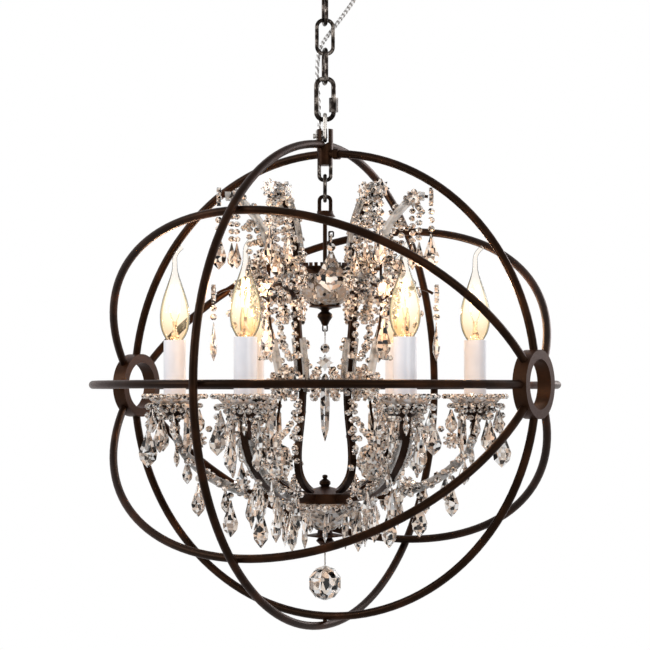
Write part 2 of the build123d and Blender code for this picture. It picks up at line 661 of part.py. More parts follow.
# ---- lamp arms and candles
def arm_line(inset=0.0):
    """The line of a lamp arm in the radial plane, moved towards the inside of its curve."""
    start = (PAN_RADIUS - PAN_WALL / 2, ARM_LOW + inset)
    bend = (ARM_STRAIGHT, ARM_LOW + inset)
    across = LAMP_RADIUS - ARM_STRAIGHT - inset
    down = ARM_TOP - ARM_LOW - inset
    return Line(start, bend) + EllipticalCenterArc((ARM_STRAIGHT, ARM_TOP), across, down, 270, arc_size=90)


arm_reach = LAMP_RADIUS - ARM_STRAIGHT
climb = EllipticalCenterArc((ARM_STRAIGHT, ARM_TOP), arm_reach, ARM_TOP - ARM_LOW, 270, arc_size=90)
candle = Pos(LAMP_RADIUS, 0, 0)
cup_top = ARM_TOP + CUP_HEIGHT
sleeve_low = cup_top + DRIP_PAN_WALL
sleeve_top = sleeve_low + SLEEVE_HEIGHT
holder_top = cup_top + HOLDER_HEIGHT
glass_side = ARM_BREADTH / 2 + PLACED + STRIP_THICKNESS / 2


def make_arms():
    channel = strap(arm_line(), ARM_DEPTH, ARM_BREADTH)
    groove = strap(arm_line(ARM_WALL), ARM_DEPTH, ARM_BREADTH - 2 * ARM_WALL)
    arm = channel - groove - pan
    save("lamp_arms", *[lamp * turn * arm for turn in arm_turns])
    wire = strap(arm_line(ARM_WALL / 2), WIRE, WIRE) - spun(
        (0, 2 * ARM_LOW), (PAN_RADIUS + LOOSE, 2 * ARM_LOW), (PAN_RADIUS + LOOSE, 0), (0, 0)
    )
    save("arm_wires", *[lamp * turn * wire for turn in arm_turns])
    strip_line = climb.trim(0.25, 0.9)
    strips = [strap(strip_line, STRIP_DEPTH, STRIP_THICKNESS, side * glass_side) for side in (-1, 1)]
    save("arm_glass", *[lamp * turn * strip for turn in arm_turns for strip in strips])
    side_off = BAR_BREADTH / 2 + PLACED + STRIP_THICKNESS / 2
    strips = [
        strap(frame_line.trim(start, end), STRIP_DEPTH, STRIP_THICKNESS, side * side_off)
        for start, end in ((0.01, 0.22), (0.5, 0.66))
        for side in (-1, 1)
    ]
    save("frame_glass", *[lamp * turn * strip for turn in arm_turns for strip in strips])


def make_candles():
    low, top = ARM_TOP, cup_top
    cup = spun(
        (0, low), (0.4 * CUP_RADIUS, low), (0.55 * CUP_RADIUS, low + 0.3 * CUP_HEIGHT),
        (0.9 * CUP_RADIUS, low + 0.6 * CUP_HEIGHT), (CUP_RADIUS, low + 0.8 * CUP_HEIGHT),
        (CUP_RADIUS, top), (0, top),
    )
    neck = HOLDER_RADIUS - SLEEVE_WALL
    rim = top + DRIP_PAN_RISE
    drip_pan = spun(
        (neck + PLACED, top), (SLEEVE_RADIUS + 1, top), (0.75 * DRIP_PAN_RADIUS, top + 0.25 * DRIP_PAN_RISE),
        (DRIP_PAN_RADIUS, rim), (DRIP_PAN_RADIUS - 1.5, rim + DRIP_PAN_WALL / 2),
        (0.72 * DRIP_PAN_RADIUS, top + 0.25 * DRIP_PAN_RISE + DRIP_PAN_WALL),
        (SLEEVE_RADIUS + 1, top + DRIP_PAN_WALL), (neck + PLACED, top + DRIP_PAN_WALL),
    )
    sleeve = Pos(0, 0, (sleeve_low + sleeve_top) / 2) * (
        Cylinder(SLEEVE_RADIUS, SLEEVE_HEIGHT) - Cylinder(SLEEVE_RADIUS - SLEEVE_WALL, SLEEVE_HEIGHT)
    )
    shoulder = top + 2 * DRIP_PAN_WALL
    holder = spun(
        (0, top), (neck, top), (neck, shoulder), (HOLDER_RADIUS, shoulder), (HOLDER_RADIUS, holder_top),
        (SOCKET_RADIUS, holder_top), (SOCKET_RADIUS, holder_top - SOCKET_DEPTH),
        (0, holder_top - SOCKET_DEPTH),
    )
    pieces = {"candle_cups": cup, "drip_pans": drip_pan, "candle_sleeves": sleeve, "lampholders": holder}
    for name, shape in pieces.items():
        save(name, *[lamp * turn * candle * shape for turn in arm_turns])


def make_bulbs():
    low = sleeve_top + LOOSE
    high = low + BULB_HEIGHT
    cap_low = holder_top - SOCKET_DEPTH + LOOSE
    wide = BULB_RADIUS
    neck = 0.55 * wide
    shoulder = Spline(
        (neck, low),
        (wide, low + 0.33 * BULB_HEIGHT),
        (0.62 * wide, low + 0.62 * BULB_HEIGHT),
        (0.2 * wide, low + 0.86 * BULB_HEIGHT),
        (0.16 * wide, high),
        tangents=[(1, 1.2), (-0.05, 1)],
    )
    cap = [(BULB_CAP_RADIUS, cap_low), (BULB_CAP_RADIUS, low)]
    inside = Polyline((0, high), (0, cap_low), *cap, (neck, low))
    outline = make_face(inside + shoulder + Line((0.16 * wide, high), (0, high)))
    glass = revolve(Plane.XZ * outline, Axis.Z)
    bend = (0.12 * wide, high + BULB_TIP / 2)
    tip_line = Plane.XZ * Spline((0, high), bend, (0.5 * wide, high + BULB_TIP), tangents=[(0, 1), (1, 0.8)])
    bulb = glass + tube(tip_line, 0.3 * wide)
    for number, turn in enumerate(arm_turns):
        upright = Rot(0, 0, -360 / ARM_COUNT * number)
        save(f"bulb_{number + 1}", lamp * turn * candle * upright * bulb)


# ---- glass
def make_rosettes():
    off = ROSETTE_THICKNESS / 2 + PLACED
    side = BAR_BREADTH / 2 + 2 * PLACED + STRIP_THICKNESS + off
    chest_x = CHEST_RADIUS + BAR_DEPTH / 2 + off + 1
    chest_y = BEAD / 2 + PLACED + off
    flat = Rot(0, 0, 90) * rosette()
    flowers = [
        Pos(CROOK_REACH + off + 1, 0, CROOK_TOP) * rosette(),
        Pos(CROOK_REACH - 17, side, CROOK_TOP - 2) * flat,
        Pos(CROOK_REACH - 17, -side, CROOK_TOP - 2) * flat,
        Pos(MIDDLE_REACH + off + 1.5, 0, MIDDLE_TOP - 6) * rosette(),
        Pos(chest_x, 0, spoke_z) * rosette(),
        Pos(CHEST_RADIUS, chest_y, MIDDLE_TOP + 6) * flat,
        Pos(CHEST_RADIUS, -chest_y, MIDDLE_TOP + 6) * flat,
        Pos(WAIST_RADIUS + STRIP_DEPTH / 2 + off + 1, 0, 4) * rosette(),
    ]
    save("rosettes", *[lamp * turn * flower for turn in arm_turns for flower in flowers])


def swag(start, end, sag, count):
    """Beads along a hanging curve between two (radius, height) points in the radial plane."""
    beads = []
    for number in range(count):
        share = (number + 0.5) / count
        x = start[0] + (end[0] - start[0]) * share
        z = start[1] + (end[1] - start[1]) * share - 4 * sag * share * (1 - share)
        beads.append(Pos(x, 0, z) * bead())
    return beads


bead_off = BEAD / 2 + BAR_DEPTH / 2 + 1
pan_edge = DRIP_PAN_RADIUS - 3
rim_low = cup_top + DRIP_PAN_RISE - DRIP_PAN_WALL


def make_strands():
    beads = string(CROOK_REACH + 4, 0, CROOK_TOP - ROSETTE_RADIUS - 1, 3)
    beads += string(MIDDLE_REACH + 4, 0, MIDDLE_TOP - 6 - ROSETTE_RADIUS - 1, 2)
    for first, last, count in ((0.14, 0.235, 5), (0.4, 0.545, 6), (0.69, 0.83, 6)):
        for number in range(count):
            x, z = beside(frame_line, first + (last - first) * number / (count - 1), bead_off)
            beads.append(Pos(x, 0, z) * bead())
    beads += swag((MIDDLE_REACH - 12, MIDDLE_TOP - 22), (WAIST_RADIUS + 30, 30), 8, 6)
    beads += swag((LAMP_RADIUS - CUP_RADIUS - 12, ARM_TOP + 6), (HIP_RADIUS + 14, -42), 22, 8)
    save("bead_strands", *[lamp * turn * one for turn in arm_turns for one in beads])


def hung(x, y, top, count, stone):
    """A stone under a short string of beads."""
    return [*string(x, y, top, count), Pos(x, y, top - BEAD_PITCH * count - PLACED) * stone]


def arm_under(x):
    """The height of a lamp arm's underside at a distance from the axis."""
    share = (x - ARM_STRAIGHT) / (LAMP_RADIUS - ARM_STRAIGHT)
    slope = sqrt(1 - share * share)
    return ARM_TOP - (ARM_TOP - ARM_LOW) * slope - ARM_DEPTH / 2 / slope


def make_drops():
    stones = [
        Pos(CROOK_REACH + 4, 0, CROOK_TOP - ROSETTE_RADIUS - 2 - 3 * BEAD_PITCH) * pear(*CROOK_PEAR),
        Pos(MIDDLE_REACH + 4, 0, MIDDLE_TOP - 8 - ROSETTE_RADIUS - 2 * BEAD_PITCH)
        * Rot(0, 0, 90)
        * pear(*MIDDLE_PEAR),
    ]
    for angle, count, stone in (
        (0, 3, pear(*RIM_PEAR)),
        (60, 2, Rot(0, 0, 45) * pear(*RIM_SIDE_PEAR)),
        (-60, 2, Rot(0, 0, -45) * pear(*RIM_SIDE_PEAR)),
        (120, 1, prism(*RIM_PRISM)),
        (-120, 1, prism(*RIM_PRISM)),
    ):
        x = LAMP_RADIUS + pan_edge * cos(radians(angle))
        y = pan_edge * sin(radians(angle))
        stones += hung(x, y, rim_low - BEAD / 2, count, stone)
    for x, length, width in ARM_PEARS:
        stones += hung(x, 0, arm_under(x) - PLACED, 1, pear(length, width))
    bowl_stone = Rot(0, 0, 180 / ARM_COUNT)
    stones += [bowl_stone * one for one in hung(LOWER_BOWL_RADIUS + 11, 0, PAN_BASE, 1, pear(*BOWL_PEAR))]
    save("glass_drops", *[lamp * turn * one for turn in arm_turns for one in stones])

    leaf_x = (LAMP_RADIUS + HIP_RADIUS) / 2 - 12
    length, width = LEAF
    shares = [(0.0, 0.08), (0.13, 0.67), (0.53, 1.0), (0.84, 0.83), (1.0, 0.28)]
    leaf = gem([(-length * down, width / 2 * out) for down, out in shares], 10, 0.22)
    save("glass_leaves", *[lamp * turn * Pos(leaf_x, 0, -72) * Rot(0, 0, 90) * leaf for turn in arm_turns])


def hook_ring(length):
    """A small wire ring in the YZ plane that hangs on an eyelet's wire at the origin."""
    return Rot(0, 0, 90) * Pos(0, 0, EYELET_WIRE + LOOSE) * oval(length, RING_WIDTH, EYELET_WIRE)


def under_ring(length):
    """How far below its pivot a hook ring ends."""
    return length - 1.5 * EYELET_WIRE - LOOSE + PLACED


crown_pivot_z = lamp_z + HOOK_TOP - EYELET_DROP
spear_pivot_z = lamp_z + UPPER_BOWL_FOOT - FINIAL_HEIGHT - EYELET_DROP
ball_pivot_z = lamp_z + bottom_low - EYELET_DROP


ball_room = ball_pivot_z - (cage_z - RING_RADIUS + ROD / 2) - BALL_AIR
ball_radius = BALL_SHARE * ball_room
ball_ring = ball_room - 2 * ball_radius + 1.5 * EYELET_WIRE + LOOSE - PLACED


def make_pendants():
    tables = [radians(angle) for angle in (-84, -55, -20, 20, 55, 84)]
    ball_levels = [(ball_radius * sin(table), ball_radius * cos(table)) for table in tables]
    ball = Pos(0, 0, -under_ring(ball_ring) - ball_radius) * gem(ball_levels, 12)
    hang = Pos(0, 0, ball_pivot_z) * face_on
    save("ball_pendant", hang * hook_ring(ball_ring), hang * ball)
    below = -under_ring(SMALL_RING)

    half = SPEAR_BEAD / 2
    shares = [(-0.93, 0.33), (-0.5, 0.83), (0.0, 1.0), (0.5, 0.83), (0.93, 0.33)]
    bead_z = below - 1.33 * SPEAR_WIRE - 2.07 * half
    ball_bead = Pos(0, 0, bead_z) * gem([(half * up, half * out) for up, out in shares], 8)
    wire = Pos(0, 0, below - half * 0.67) * Cylinder(SPEAR_WIRE / 2, 1.33 * half)
    star_z = bead_z - half - ROSETTE_RADIUS
    star = Pos(0, 0, star_z) * Rot(0, 0, 90) * rosette(ROSETTE_RADIUS - 1)
    length, width = SPEAR
    shares = [(0.0, 0.23), (0.06, 0.77), (0.48, 1.0), (0.82, 0.77), (1.0, 0.09)]
    spear_place = Pos(0, 0, star_z - ROSETTE_RADIUS - 2)
    spear = spear_place * gem([(-length * down, width / 2 * out) for down, out in shares], 6)
    hang = Pos(0, 0, spear_pivot_z) * face_on
    stones = (wire, ball_bead, star, spear)
    save("spear_pendant", hang * hook_ring(SMALL_RING), *[hang * stone for stone in stones])

    stones = [
        Pos(0, 0, below - CROWN_BEAD / 2) * bead(CROWN_BEAD),
        Pos(0, 0, below - 0.95 * CROWN_BEAD) * pear(*CROWN_PEAR, 0.3),
    ]
    hang = Pos(0, 0, crown_pivot_z) * face_on * Rot(0, 0, HOOK_TURN)
    hang = hang * Pos(GALLERY_RADIUS + HOOK_REACH, 0, 0) * Rot(0, 0, 90)
    save("crown_pendant", hang * hook_ring(SMALL_RING), *[hang * one for one in stones])


# ---- supply cord, from the bushing through the chain to the collar's gland
cord_points = [
    (BUSHING_OUT, 0.0, -CANOPY_DEPTH - BUSHING_LENGTH),
    (BUSHING_OUT, 0.0, -CANOPY_DEPTH - BUSHING_LENGTH - 14),
    (36, 3, -61),
    (24.5, 6.5, -77),
    (9, 8.8, -97),
    (-5.5, 9.2, -116),
    (-9.4, 9, -137),
    (-9, 9.4, -159),
    (-7.2, 10.3, -181),
    (-6.5, COLLAR_RADIUS + 1.6, -201),
    (-6.5, COLLAR_RADIUS + 1.6, collar_top_z),
]


def make_cord():
    points = [Vector(*point) for point in cord_points]
    runs = [after - before for before, after in zip(points, points[1:])]
    radii = []
    for one, other in zip(runs, runs[1:]):
        half_turn = radians(one.get_angle(other)) / 2
        radii.append(0.45 * min(one.length, other.length) / tan(half_turn))
    path = FilletPolyline(*points, radius=radii)
    cord = tube(path, CORD)
    section = 3.14159265 * CORD * CORD / 4
    print("cord runs", [round(run.length, 1) for run in runs])
    print("cord radii", [round(radius, 1) for radius in radii])
    print("cord length", round(path.length, 2))
    print("cord volume over section times length", cord.volume / section / path.length)
    save("supply_cord", face_on * cord)


make_ceiling_fitting()
make_chain()
make_collar()
make_cage()
make_frame()
make_bottom()
make_arms()
make_candles()
make_bulbs()
make_rosettes()
make_strands()
make_drops()
make_pendants()
make_cord()

print("pivots of the loop, links, quick link and pin", loop_wire_z, link_hang, quick_low_z, pin_z)
print("pivots of the stirrup, inner link, crown, spear and ball")
print(stirrup_z, inner_low_z, crown_pivot_z, spear_pivot_z, ball_pivot_z)
print("middle of the cage and of the lamps", cage_z, lamp_z)
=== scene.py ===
from math import atan2, cos, hypot, pi, radians, sin

import bpy
from mathutils import Matrix, Vector


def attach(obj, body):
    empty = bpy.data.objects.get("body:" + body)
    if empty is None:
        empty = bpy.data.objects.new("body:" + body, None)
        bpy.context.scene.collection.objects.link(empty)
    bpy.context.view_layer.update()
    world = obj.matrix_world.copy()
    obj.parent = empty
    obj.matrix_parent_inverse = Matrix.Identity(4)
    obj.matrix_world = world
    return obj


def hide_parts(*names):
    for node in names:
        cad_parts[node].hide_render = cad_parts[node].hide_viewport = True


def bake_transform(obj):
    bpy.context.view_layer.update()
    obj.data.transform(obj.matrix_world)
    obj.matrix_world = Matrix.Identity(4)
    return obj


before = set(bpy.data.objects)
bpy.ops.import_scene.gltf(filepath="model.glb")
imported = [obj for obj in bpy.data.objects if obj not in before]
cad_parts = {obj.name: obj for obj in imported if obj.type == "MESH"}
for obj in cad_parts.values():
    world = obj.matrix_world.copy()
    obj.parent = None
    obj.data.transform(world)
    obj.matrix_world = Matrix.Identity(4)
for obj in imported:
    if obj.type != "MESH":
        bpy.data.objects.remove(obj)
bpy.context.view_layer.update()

bl_info = {
    "name": "Orb chandelier dressing",
    "version": (1, 0, 0),
    "blender": (4, 5, 0),
    "location": "View3D > Sidebar > Orb chandelier",
    "description": "Finishes, lamps' insides, crystal garlands and the cord of an orb chandelier",
    "category": "Object",
}

# The chandelier's own measures, in metres, in the frame of the solids.
ARM_COUNT = 6
FIRST_ARM = radians(30)
ORB_HEIGHT = -0.51985        # middle of the orb
LAMP_RADIUS = 0.178
SLEEVE_TOP = ORB_HEIGHT + 0.053
CORD_DIAMETER = 0.005
LAMP_LIGHT_HEIGHT = 0.05     # middle of a lamp's glow above its sleeve
FILAMENT_LOW = 0.033         # filament's ends above the sleeve
FILAMENT_RADIUS = 0.0012
LEAD_RADIUS = 0.00035

# A lamp arm's line climbs a quarter of an ellipse from its straight stretch.
ARM_START = 0.050            # where it begins to climb, from the axis
ARM_RUN = 0.128
ARM_RISE = 0.088
ARM_TOP = -0.044             # its upper end, above the orb's middle

# Rows of beads round each drip pan: distance from the lamp's axis, height, count and first angle.
PAN_ROWS = (
    (0.0362, -0.0135, 26, 0.0), (0.0300, -0.0245, 20, 0.15), (0.0215, -0.0300, 15, 0.3),
    (0.0185, -0.0385, 13, 0.0),
)
# Pears round each drip pan: angle in degrees and how far below the others.
PAN_PEARS = ((30, 0), (-30, 0), (90, 0.005), (-90, 0.005), (155, 0), (-155, 0))
PAN_PEAR_RADIUS = 0.0315
PAN_PEAR_HEIGHT = -0.029
# Pears along each lamp arm: share of its climb and side.
ARM_PEARS = ((0.86, 1), (0.7, -1), (0.52, 1), (0.36, -1), (0.2, 1))
# Flowers along the outer side of each frame bar: shares of its length, and their distance from its line.
FRAME_FLOWERS = (0.05, 0.13, 0.2, 0.27, 0.55)
FRAME_FLOWER_OFF = 0.0125


# ---- small helpers
def linear(code):
    """An sRGB hex colour as linear red, green, blue and alpha."""
    parts = [int(code[i : i + 2], 16) / 255 for i in (1, 3, 5)]
    return [c / 12.92 if c <= 0.04045 else ((c + 0.055) / 1.055) ** 2.4 for c in parts] + [1.0]


def add_node(tree, kind, settings=None, stops=(), **sockets):
    """A node with its settings, its colour stops, and its inputs set to values or linked.

    An input goes by its name, or by its number as i0, i1 and so on. A node given as a value links its first
    output.
    """
    made = tree.nodes.new(kind)
    for name, value in (settings or {}).items():
        setattr(made, name, value)
    if stops:
        band = made.color_ramp.elements
        while len(band) < len(stops):
            band.new(1.0)
        for element, (place, code) in zip(band, stops):
            element.position = place
            element.color = linear(code)
    for name, value in sockets.items():
        key = int(name[1:]) if name[0] == "i" and name[1:].isdigit() else name.replace("_", " ")
        if isinstance(value, bpy.types.Node):
            value = value.outputs[0]
        if isinstance(value, bpy.types.NodeSocket):
            tree.links.new(value, made.inputs[key])
        else:
            made.inputs[key].default_value = value
    return made


def new_material(name):
    """An empty node material, its tree and the piece's own coordinates."""
    material = bpy.data.materials.new(name)
    material.use_nodes = True
    tree = material.node_tree
    tree.nodes.clear()
    return material, tree, add_node(tree, "ShaderNodeTexCoord")


# ---- finishes; a noise or cell pattern's scale is one over its patches' size in metres
def bronzed_iron():
    """Round iron bar under rubbed dark bronze paint: near black brown, redder and lighter where rubbed."""
    material, tree, place = new_material("bronzed_iron")
    spot = place.outputs["Object"]
    cloud = add_node(tree, "ShaderNodeTexNoise", Vector=spot, Scale=1 / 0.045, Detail=5.0, Roughness=0.6)
    grain = add_node(tree, "ShaderNodeTexNoise", Vector=spot, Scale=1 / 0.0022, Detail=3.0, Roughness=0.7)
    edge = add_node(tree, "ShaderNodeNewGeometry").outputs["Pointiness"]
    browns = [(0.3, "#050302"), (0.5, "#130a06"), (0.68, "#2b180e"), (0.85, "#47291a")]
    tone = add_node(tree, "ShaderNodeValToRGB", stops=browns, Fac=cloud)
    rubbed = add_node(tree, "ShaderNodeValToRGB", stops=[(0.53, "#000000"), (0.66, "#8c8c8c")], Fac=edge)
    colour = add_node(tree, "ShaderNodeMix", {"data_type": "RGBA"}, i0=rubbed, i6=tone, i7=linear("#4c3223"))
    polish = add_node(tree, "ShaderNodeMapRange", i0=grain, i1=0.3, i2=0.7, i3=0.3, i4=0.46)
    relief = add_node(tree, "ShaderNodeBump", Height=grain, Distance=0.00012)
    shader = add_node(
        tree, "ShaderNodeBsdfPrincipled", Base_Color=colour.outputs[2], Metallic=0.15, Roughness=polish,
        Specular_IOR_Level=0.16, Specular_Tint=linear("#e0a57c"), Normal=relief,
    )
    add_node(tree, "ShaderNodeOutputMaterial", Surface=shader)
    return material


def black_nickel():
    """Antiqued nickel on the chain's wire: dark in the hollows, grey and bright where links rub."""
    material, tree, place = new_material("black_nickel")
    spot = place.outputs["Object"]
    cloud = add_node(tree, "ShaderNodeTexNoise", Vector=spot, Scale=1 / 0.009, Detail=4.0, Roughness=0.6)
    greys = [(0.32, "#080605"), (0.5, "#2b2521"), (0.64, "#7a726b"), (0.8, "#b5ada5")]
    tone = add_node(tree, "ShaderNodeValToRGB", stops=greys, Fac=cloud)
    polish = add_node(tree, "ShaderNodeMapRange", i0=cloud, i1=0.3, i2=0.7, i3=0.4, i4=0.2)
    grain = add_node(tree, "ShaderNodeTexNoise", Vector=spot, Scale=1 / 0.0015, Detail=3.0)
    relief = add_node(tree, "ShaderNodeBump", Height=grain, Distance=0.00008)
    shader = add_node(
        tree, "ShaderNodeBsdfPrincipled", Base_Color=tone, Metallic=1.0, Roughness=polish, Normal=relief
    )
    add_node(tree, "ShaderNodeOutputMaterial", Surface=shader)
    return material


def satin_nickel():
    """Satin nickel plate on small turned fittings: cool grey, finely brushed."""
    material, tree, place = new_material("satin_nickel")
    fine = add_node(tree, "ShaderNodeTexNoise", Vector=place.outputs["Object"], Scale=1 / 0.001, Detail=2.0)
    tone = add_node(tree, "ShaderNodeValToRGB", stops=[(0.2, "#8f8b86"), (0.8, "#b9b4ae")], Fac=fine)
    polish = add_node(tree, "ShaderNodeMapRange", i0=fine, i1=0.3, i2=0.7, i3=0.2, i4=0.34)
    shader = add_node(tree, "ShaderNodeBsdfPrincipled", Base_Color=tone, Metallic=1.0, Roughness=polish)
    add_node(tree, "ShaderNodeOutputMaterial", Surface=shader)
    return material


def cut_crystal(name="cut_crystal", cell=0.0034, black=0.13):
    """Lead crystal, cut and polished: each facet's base colour is a painted reflection, a black, white or
    cream piece of the room.

    The cells are a facet's size in metres, and black is the share of them that hold painted dark reflections.
    """
    material, tree, place = new_material(name)
    facet = add_node(
        tree, "ShaderNodeVectorMath", {"operation": "MULTIPLY_ADD"}, i0=place.outputs["Normal"],
        i1=(7.3, 5.1, 6.4),
    )
    scaled = add_node(
        tree, "ShaderNodeVectorMath", {"operation": "SCALE"}, Vector=place.outputs["Object"], Scale=1 / cell
    )
    tree.links.new(scaled.outputs["Vector"], facet.inputs[2])
    cells = add_node(
        tree, "ShaderNodeTexVoronoi", {"voronoi_dimensions": "3D", "feature": "F1"},
        Vector=facet, Scale=1.0, Randomness=1.0,
    )
    split = add_node(tree, "ShaderNodeSeparateColor", Color=cells.outputs["Color"])
    # Painted reflections: near black and grey facets stand for the dark room, cream and peach ones for warm
    # light.
    painted_reflection_tones = [
        (0.0, "#000000"), (black, "#2f2620"), (black + 0.07, "#a39387"), (black + 0.16, "#dccabc"),
        (0.42, "#f8ecdf"), (0.56, "#ffffff"), (0.86, "#f9dcc4"),
    ]
    tone = add_node(tree, "ShaderNodeValToRGB", stops=painted_reflection_tones, Fac=split.outputs["Red"])
    tone.color_ramp.interpolation = "CONSTANT"
    clear = add_node(
        tree, "ShaderNodeValToRGB", stops=[(0.0, "#5a5a5a"), (0.45, "#e0e0e0")], Fac=split.outputs["Green"]
    )
    clear.color_ramp.interpolation = "CONSTANT"
    shader = add_node(
        tree, "ShaderNodeBsdfPrincipled", Base_Color=tone, Roughness=0.03, IOR=1.4, Transmission_Weight=clear,
        Specular_IOR_Level=0.8,
    )
    add_node(tree, "ShaderNodeOutputMaterial", Surface=shader)
    return material


def drop_crystal():
    """The larger pendants' broad facets, each one tone of painted reflection."""
    return cut_crystal("drop_crystal", 0.0062, 0.14)


def ball_crystal():
    """The large ball's wide facets, with more painted dark reflections of the room in them."""
    return cut_crystal("ball_crystal", 0.0075, 0.24)


def clear_glass():
    """Smooth clear glass of the curved arm strips: painted shade, white through the middle and grey along the
    edges.
    """
    material, tree, place = new_material("clear_glass")
    facing = add_node(tree, "ShaderNodeLayerWeight", Blend=0.35).outputs["Facing"]
    streak = add_node(tree, "ShaderNodeTexNoise", Vector=place.outputs["Object"], Scale=1 / 0.012, Detail=2.0)
    # Painted shade: white where the strip faces the view, grey to dark grey where it turns away.
    greys = [(0.0, "#f4f3f2"), (0.45, "#cfcdcb"), (0.7, "#8b8784"), (0.95, "#3b3734")]
    tone = add_node(tree, "ShaderNodeValToRGB", stops=greys, Fac=facing)
    shade = add_node(tree, "ShaderNodeValToRGB", stops=[(0.35, "#9a9692"), (0.5, "#ffffff")], Fac=streak)
    colour = add_node(
        tree, "ShaderNodeMix", {"data_type": "RGBA", "blend_type": "MULTIPLY"}, i0=0.8, i6=tone, i7=shade
    )
    shader = add_node(
        tree, "ShaderNodeBsdfPrincipled", Base_Color=colour.outputs[2], Roughness=0.05, IOR=1.3,
        Transmission_Weight=0.7,
    )
    add_node(tree, "ShaderNodeOutputMaterial", Surface=shader)
    return material


def pressed_glass():
    """Pressed soda glass with flutes running out from the middle: painted reflections make its grey lines and
    bright bands.
    """
    material, tree, place = new_material("pressed_glass")
    cells = add_node(
        tree, "ShaderNodeTexVoronoi", {"voronoi_dimensions": "3D"}, Vector=place.outputs["Object"],
        Scale=1 / 0.0045,
    )
    split = add_node(tree, "ShaderNodeSeparateColor", Color=cells.outputs["Color"])
    # Painted reflections: near black, grey, white and cream facets in the base colour.
    painted_reflection_tones = [(0.0, "#120d0a"), (0.07, "#94877c"), (0.2, "#f6e4d4"), (0.45, "#ffffff"), (0.82, "#fadfc8")]
    tone = add_node(tree, "ShaderNodeValToRGB", stops=painted_reflection_tones, Fac=split.outputs["Red"])
    tone.color_ramp.interpolation = "CONSTANT"
    relief = add_node(tree, "ShaderNodeBump", Height=cells.outputs["Distance"], Distance=0.0012, Strength=0.7)
    shader = add_node(
        tree, "ShaderNodeBsdfPrincipled", Base_Color=tone, Roughness=0.05, IOR=1.42, Transmission_Weight=0.7,
        Normal=relief,
    )
    add_node(tree, "ShaderNodeOutputMaterial", Surface=shader)
    return material


def blown_glass():
    """A lamp's thin blown envelope: clear, with painted shade grey where it curves away, amber low down.

    A painted glow across its middle stands for the filament's light as a haze.
    """
    material, tree, place = new_material("blown_glass")
    rim = add_node(tree, "ShaderNodeLayerWeight", Blend=0.12).outputs["Facing"]
    # Painted shade: the envelope's colour greys towards its rim, where it curves away from view.
    painted_rim_shade_tones = [(0.0, "#fffdfa"), (0.6, "#fbf5ec"), (0.93, "#d2cac1")]
    tint = add_node(tree, "ShaderNodeValToRGB", stops=painted_rim_shade_tones, Fac=rim)
    height = add_node(tree, "ShaderNodeSeparateXYZ", Vector=place.outputs["Object"]).outputs["Z"]
    warm = add_node(
        tree, "ShaderNodeMapRange", i0=height, i1=SLEEVE_TOP + 0.002, i2=SLEEVE_TOP + 0.06, i3=0.42, i4=0.03
    )
    amber = add_node(
        tree, "ShaderNodeMix", {"data_type": "RGBA", "blend_type": "MULTIPLY"}, i0=warm, i6=tint,
        i7=linear("#ffd58f"),
    )
    through = add_node(tree, "ShaderNodeBsdfTransparent", Color=amber.outputs[2])
    shine = add_node(tree, "ShaderNodeBsdfGlossy", Color=linear("#ffffff"), Roughness=0.02)
    amount = add_node(tree, "ShaderNodeFresnel", IOR=1.2)
    both = add_node(tree, "ShaderNodeMixShader", i0=amount, i1=through, i2=shine)
    # Painted glow: an emitted haze across the envelope's middle, though the glass itself is no lamp.
    middle = add_node(tree, "ShaderNodeMapRange", i0=rim, i1=0.0, i2=0.32, i3=1.0, i4=0.0)
    low = add_node(
        tree, "ShaderNodeMapRange", i0=height, i1=SLEEVE_TOP + 0.01, i2=SLEEVE_TOP + 0.035, i3=0.15, i4=1.0
    )
    high = add_node(
        tree, "ShaderNodeMapRange", i0=height, i1=SLEEVE_TOP + 0.045, i2=SLEEVE_TOP + 0.075, i3=0.3, i4=0.0
    )
    band = add_node(tree, "ShaderNodeMath", {"operation": "MULTIPLY"}, i0=low, i1=high)
    glow = add_node(tree, "ShaderNodeMath", {"operation": "MULTIPLY"}, i0=middle, i1=band)
    painted_glow_haze = add_node(tree, "ShaderNodeEmission", Color=linear("#fff0c4"), Strength=glow)
    lit = add_node(tree, "ShaderNodeAddShader", i0=both, i1=painted_glow_haze)
    add_node(tree, "ShaderNodeOutputMaterial", Surface=lit)
    return material


def glowing_tungsten():
    """A tungsten filament at work: white hot, warmer in patches."""
    material, tree, place = new_material("glowing_tungsten")
    patch = add_node(tree, "ShaderNodeTexNoise", Vector=place.outputs["Object"], Scale=1 / 0.006, Detail=3.0)
    tone = add_node(tree, "ShaderNodeValToRGB", stops=[(0.35, "#ffb455"), (0.65, "#ffe2a8")], Fac=patch)
    glow = add_node(tree, "ShaderNodeEmission", Color=tone, Strength=9.0)
    add_node(tree, "ShaderNodeOutputMaterial", Surface=glow)
    return material


def lamp_brass():
    """Drawn brass of the lamp's lead wires: warm yellow, unevenly tarnished."""
    material, tree, place = new_material("lamp_brass")
    patch = add_node(tree, "ShaderNodeTexNoise", Vector=place.outputs["Object"], Scale=1 / 0.004, Detail=3.0)
    tone = add_node(tree, "ShaderNodeValToRGB", stops=[(0.3, "#9c6b33"), (0.7, "#d9a45c")], Fac=patch)
    shader = add_node(tree, "ShaderNodeBsdfPrincipled", Base_Color=tone, Metallic=1.0, Roughness=0.28)
    add_node(tree, "ShaderNodeOutputMaterial", Surface=shader)
    return material


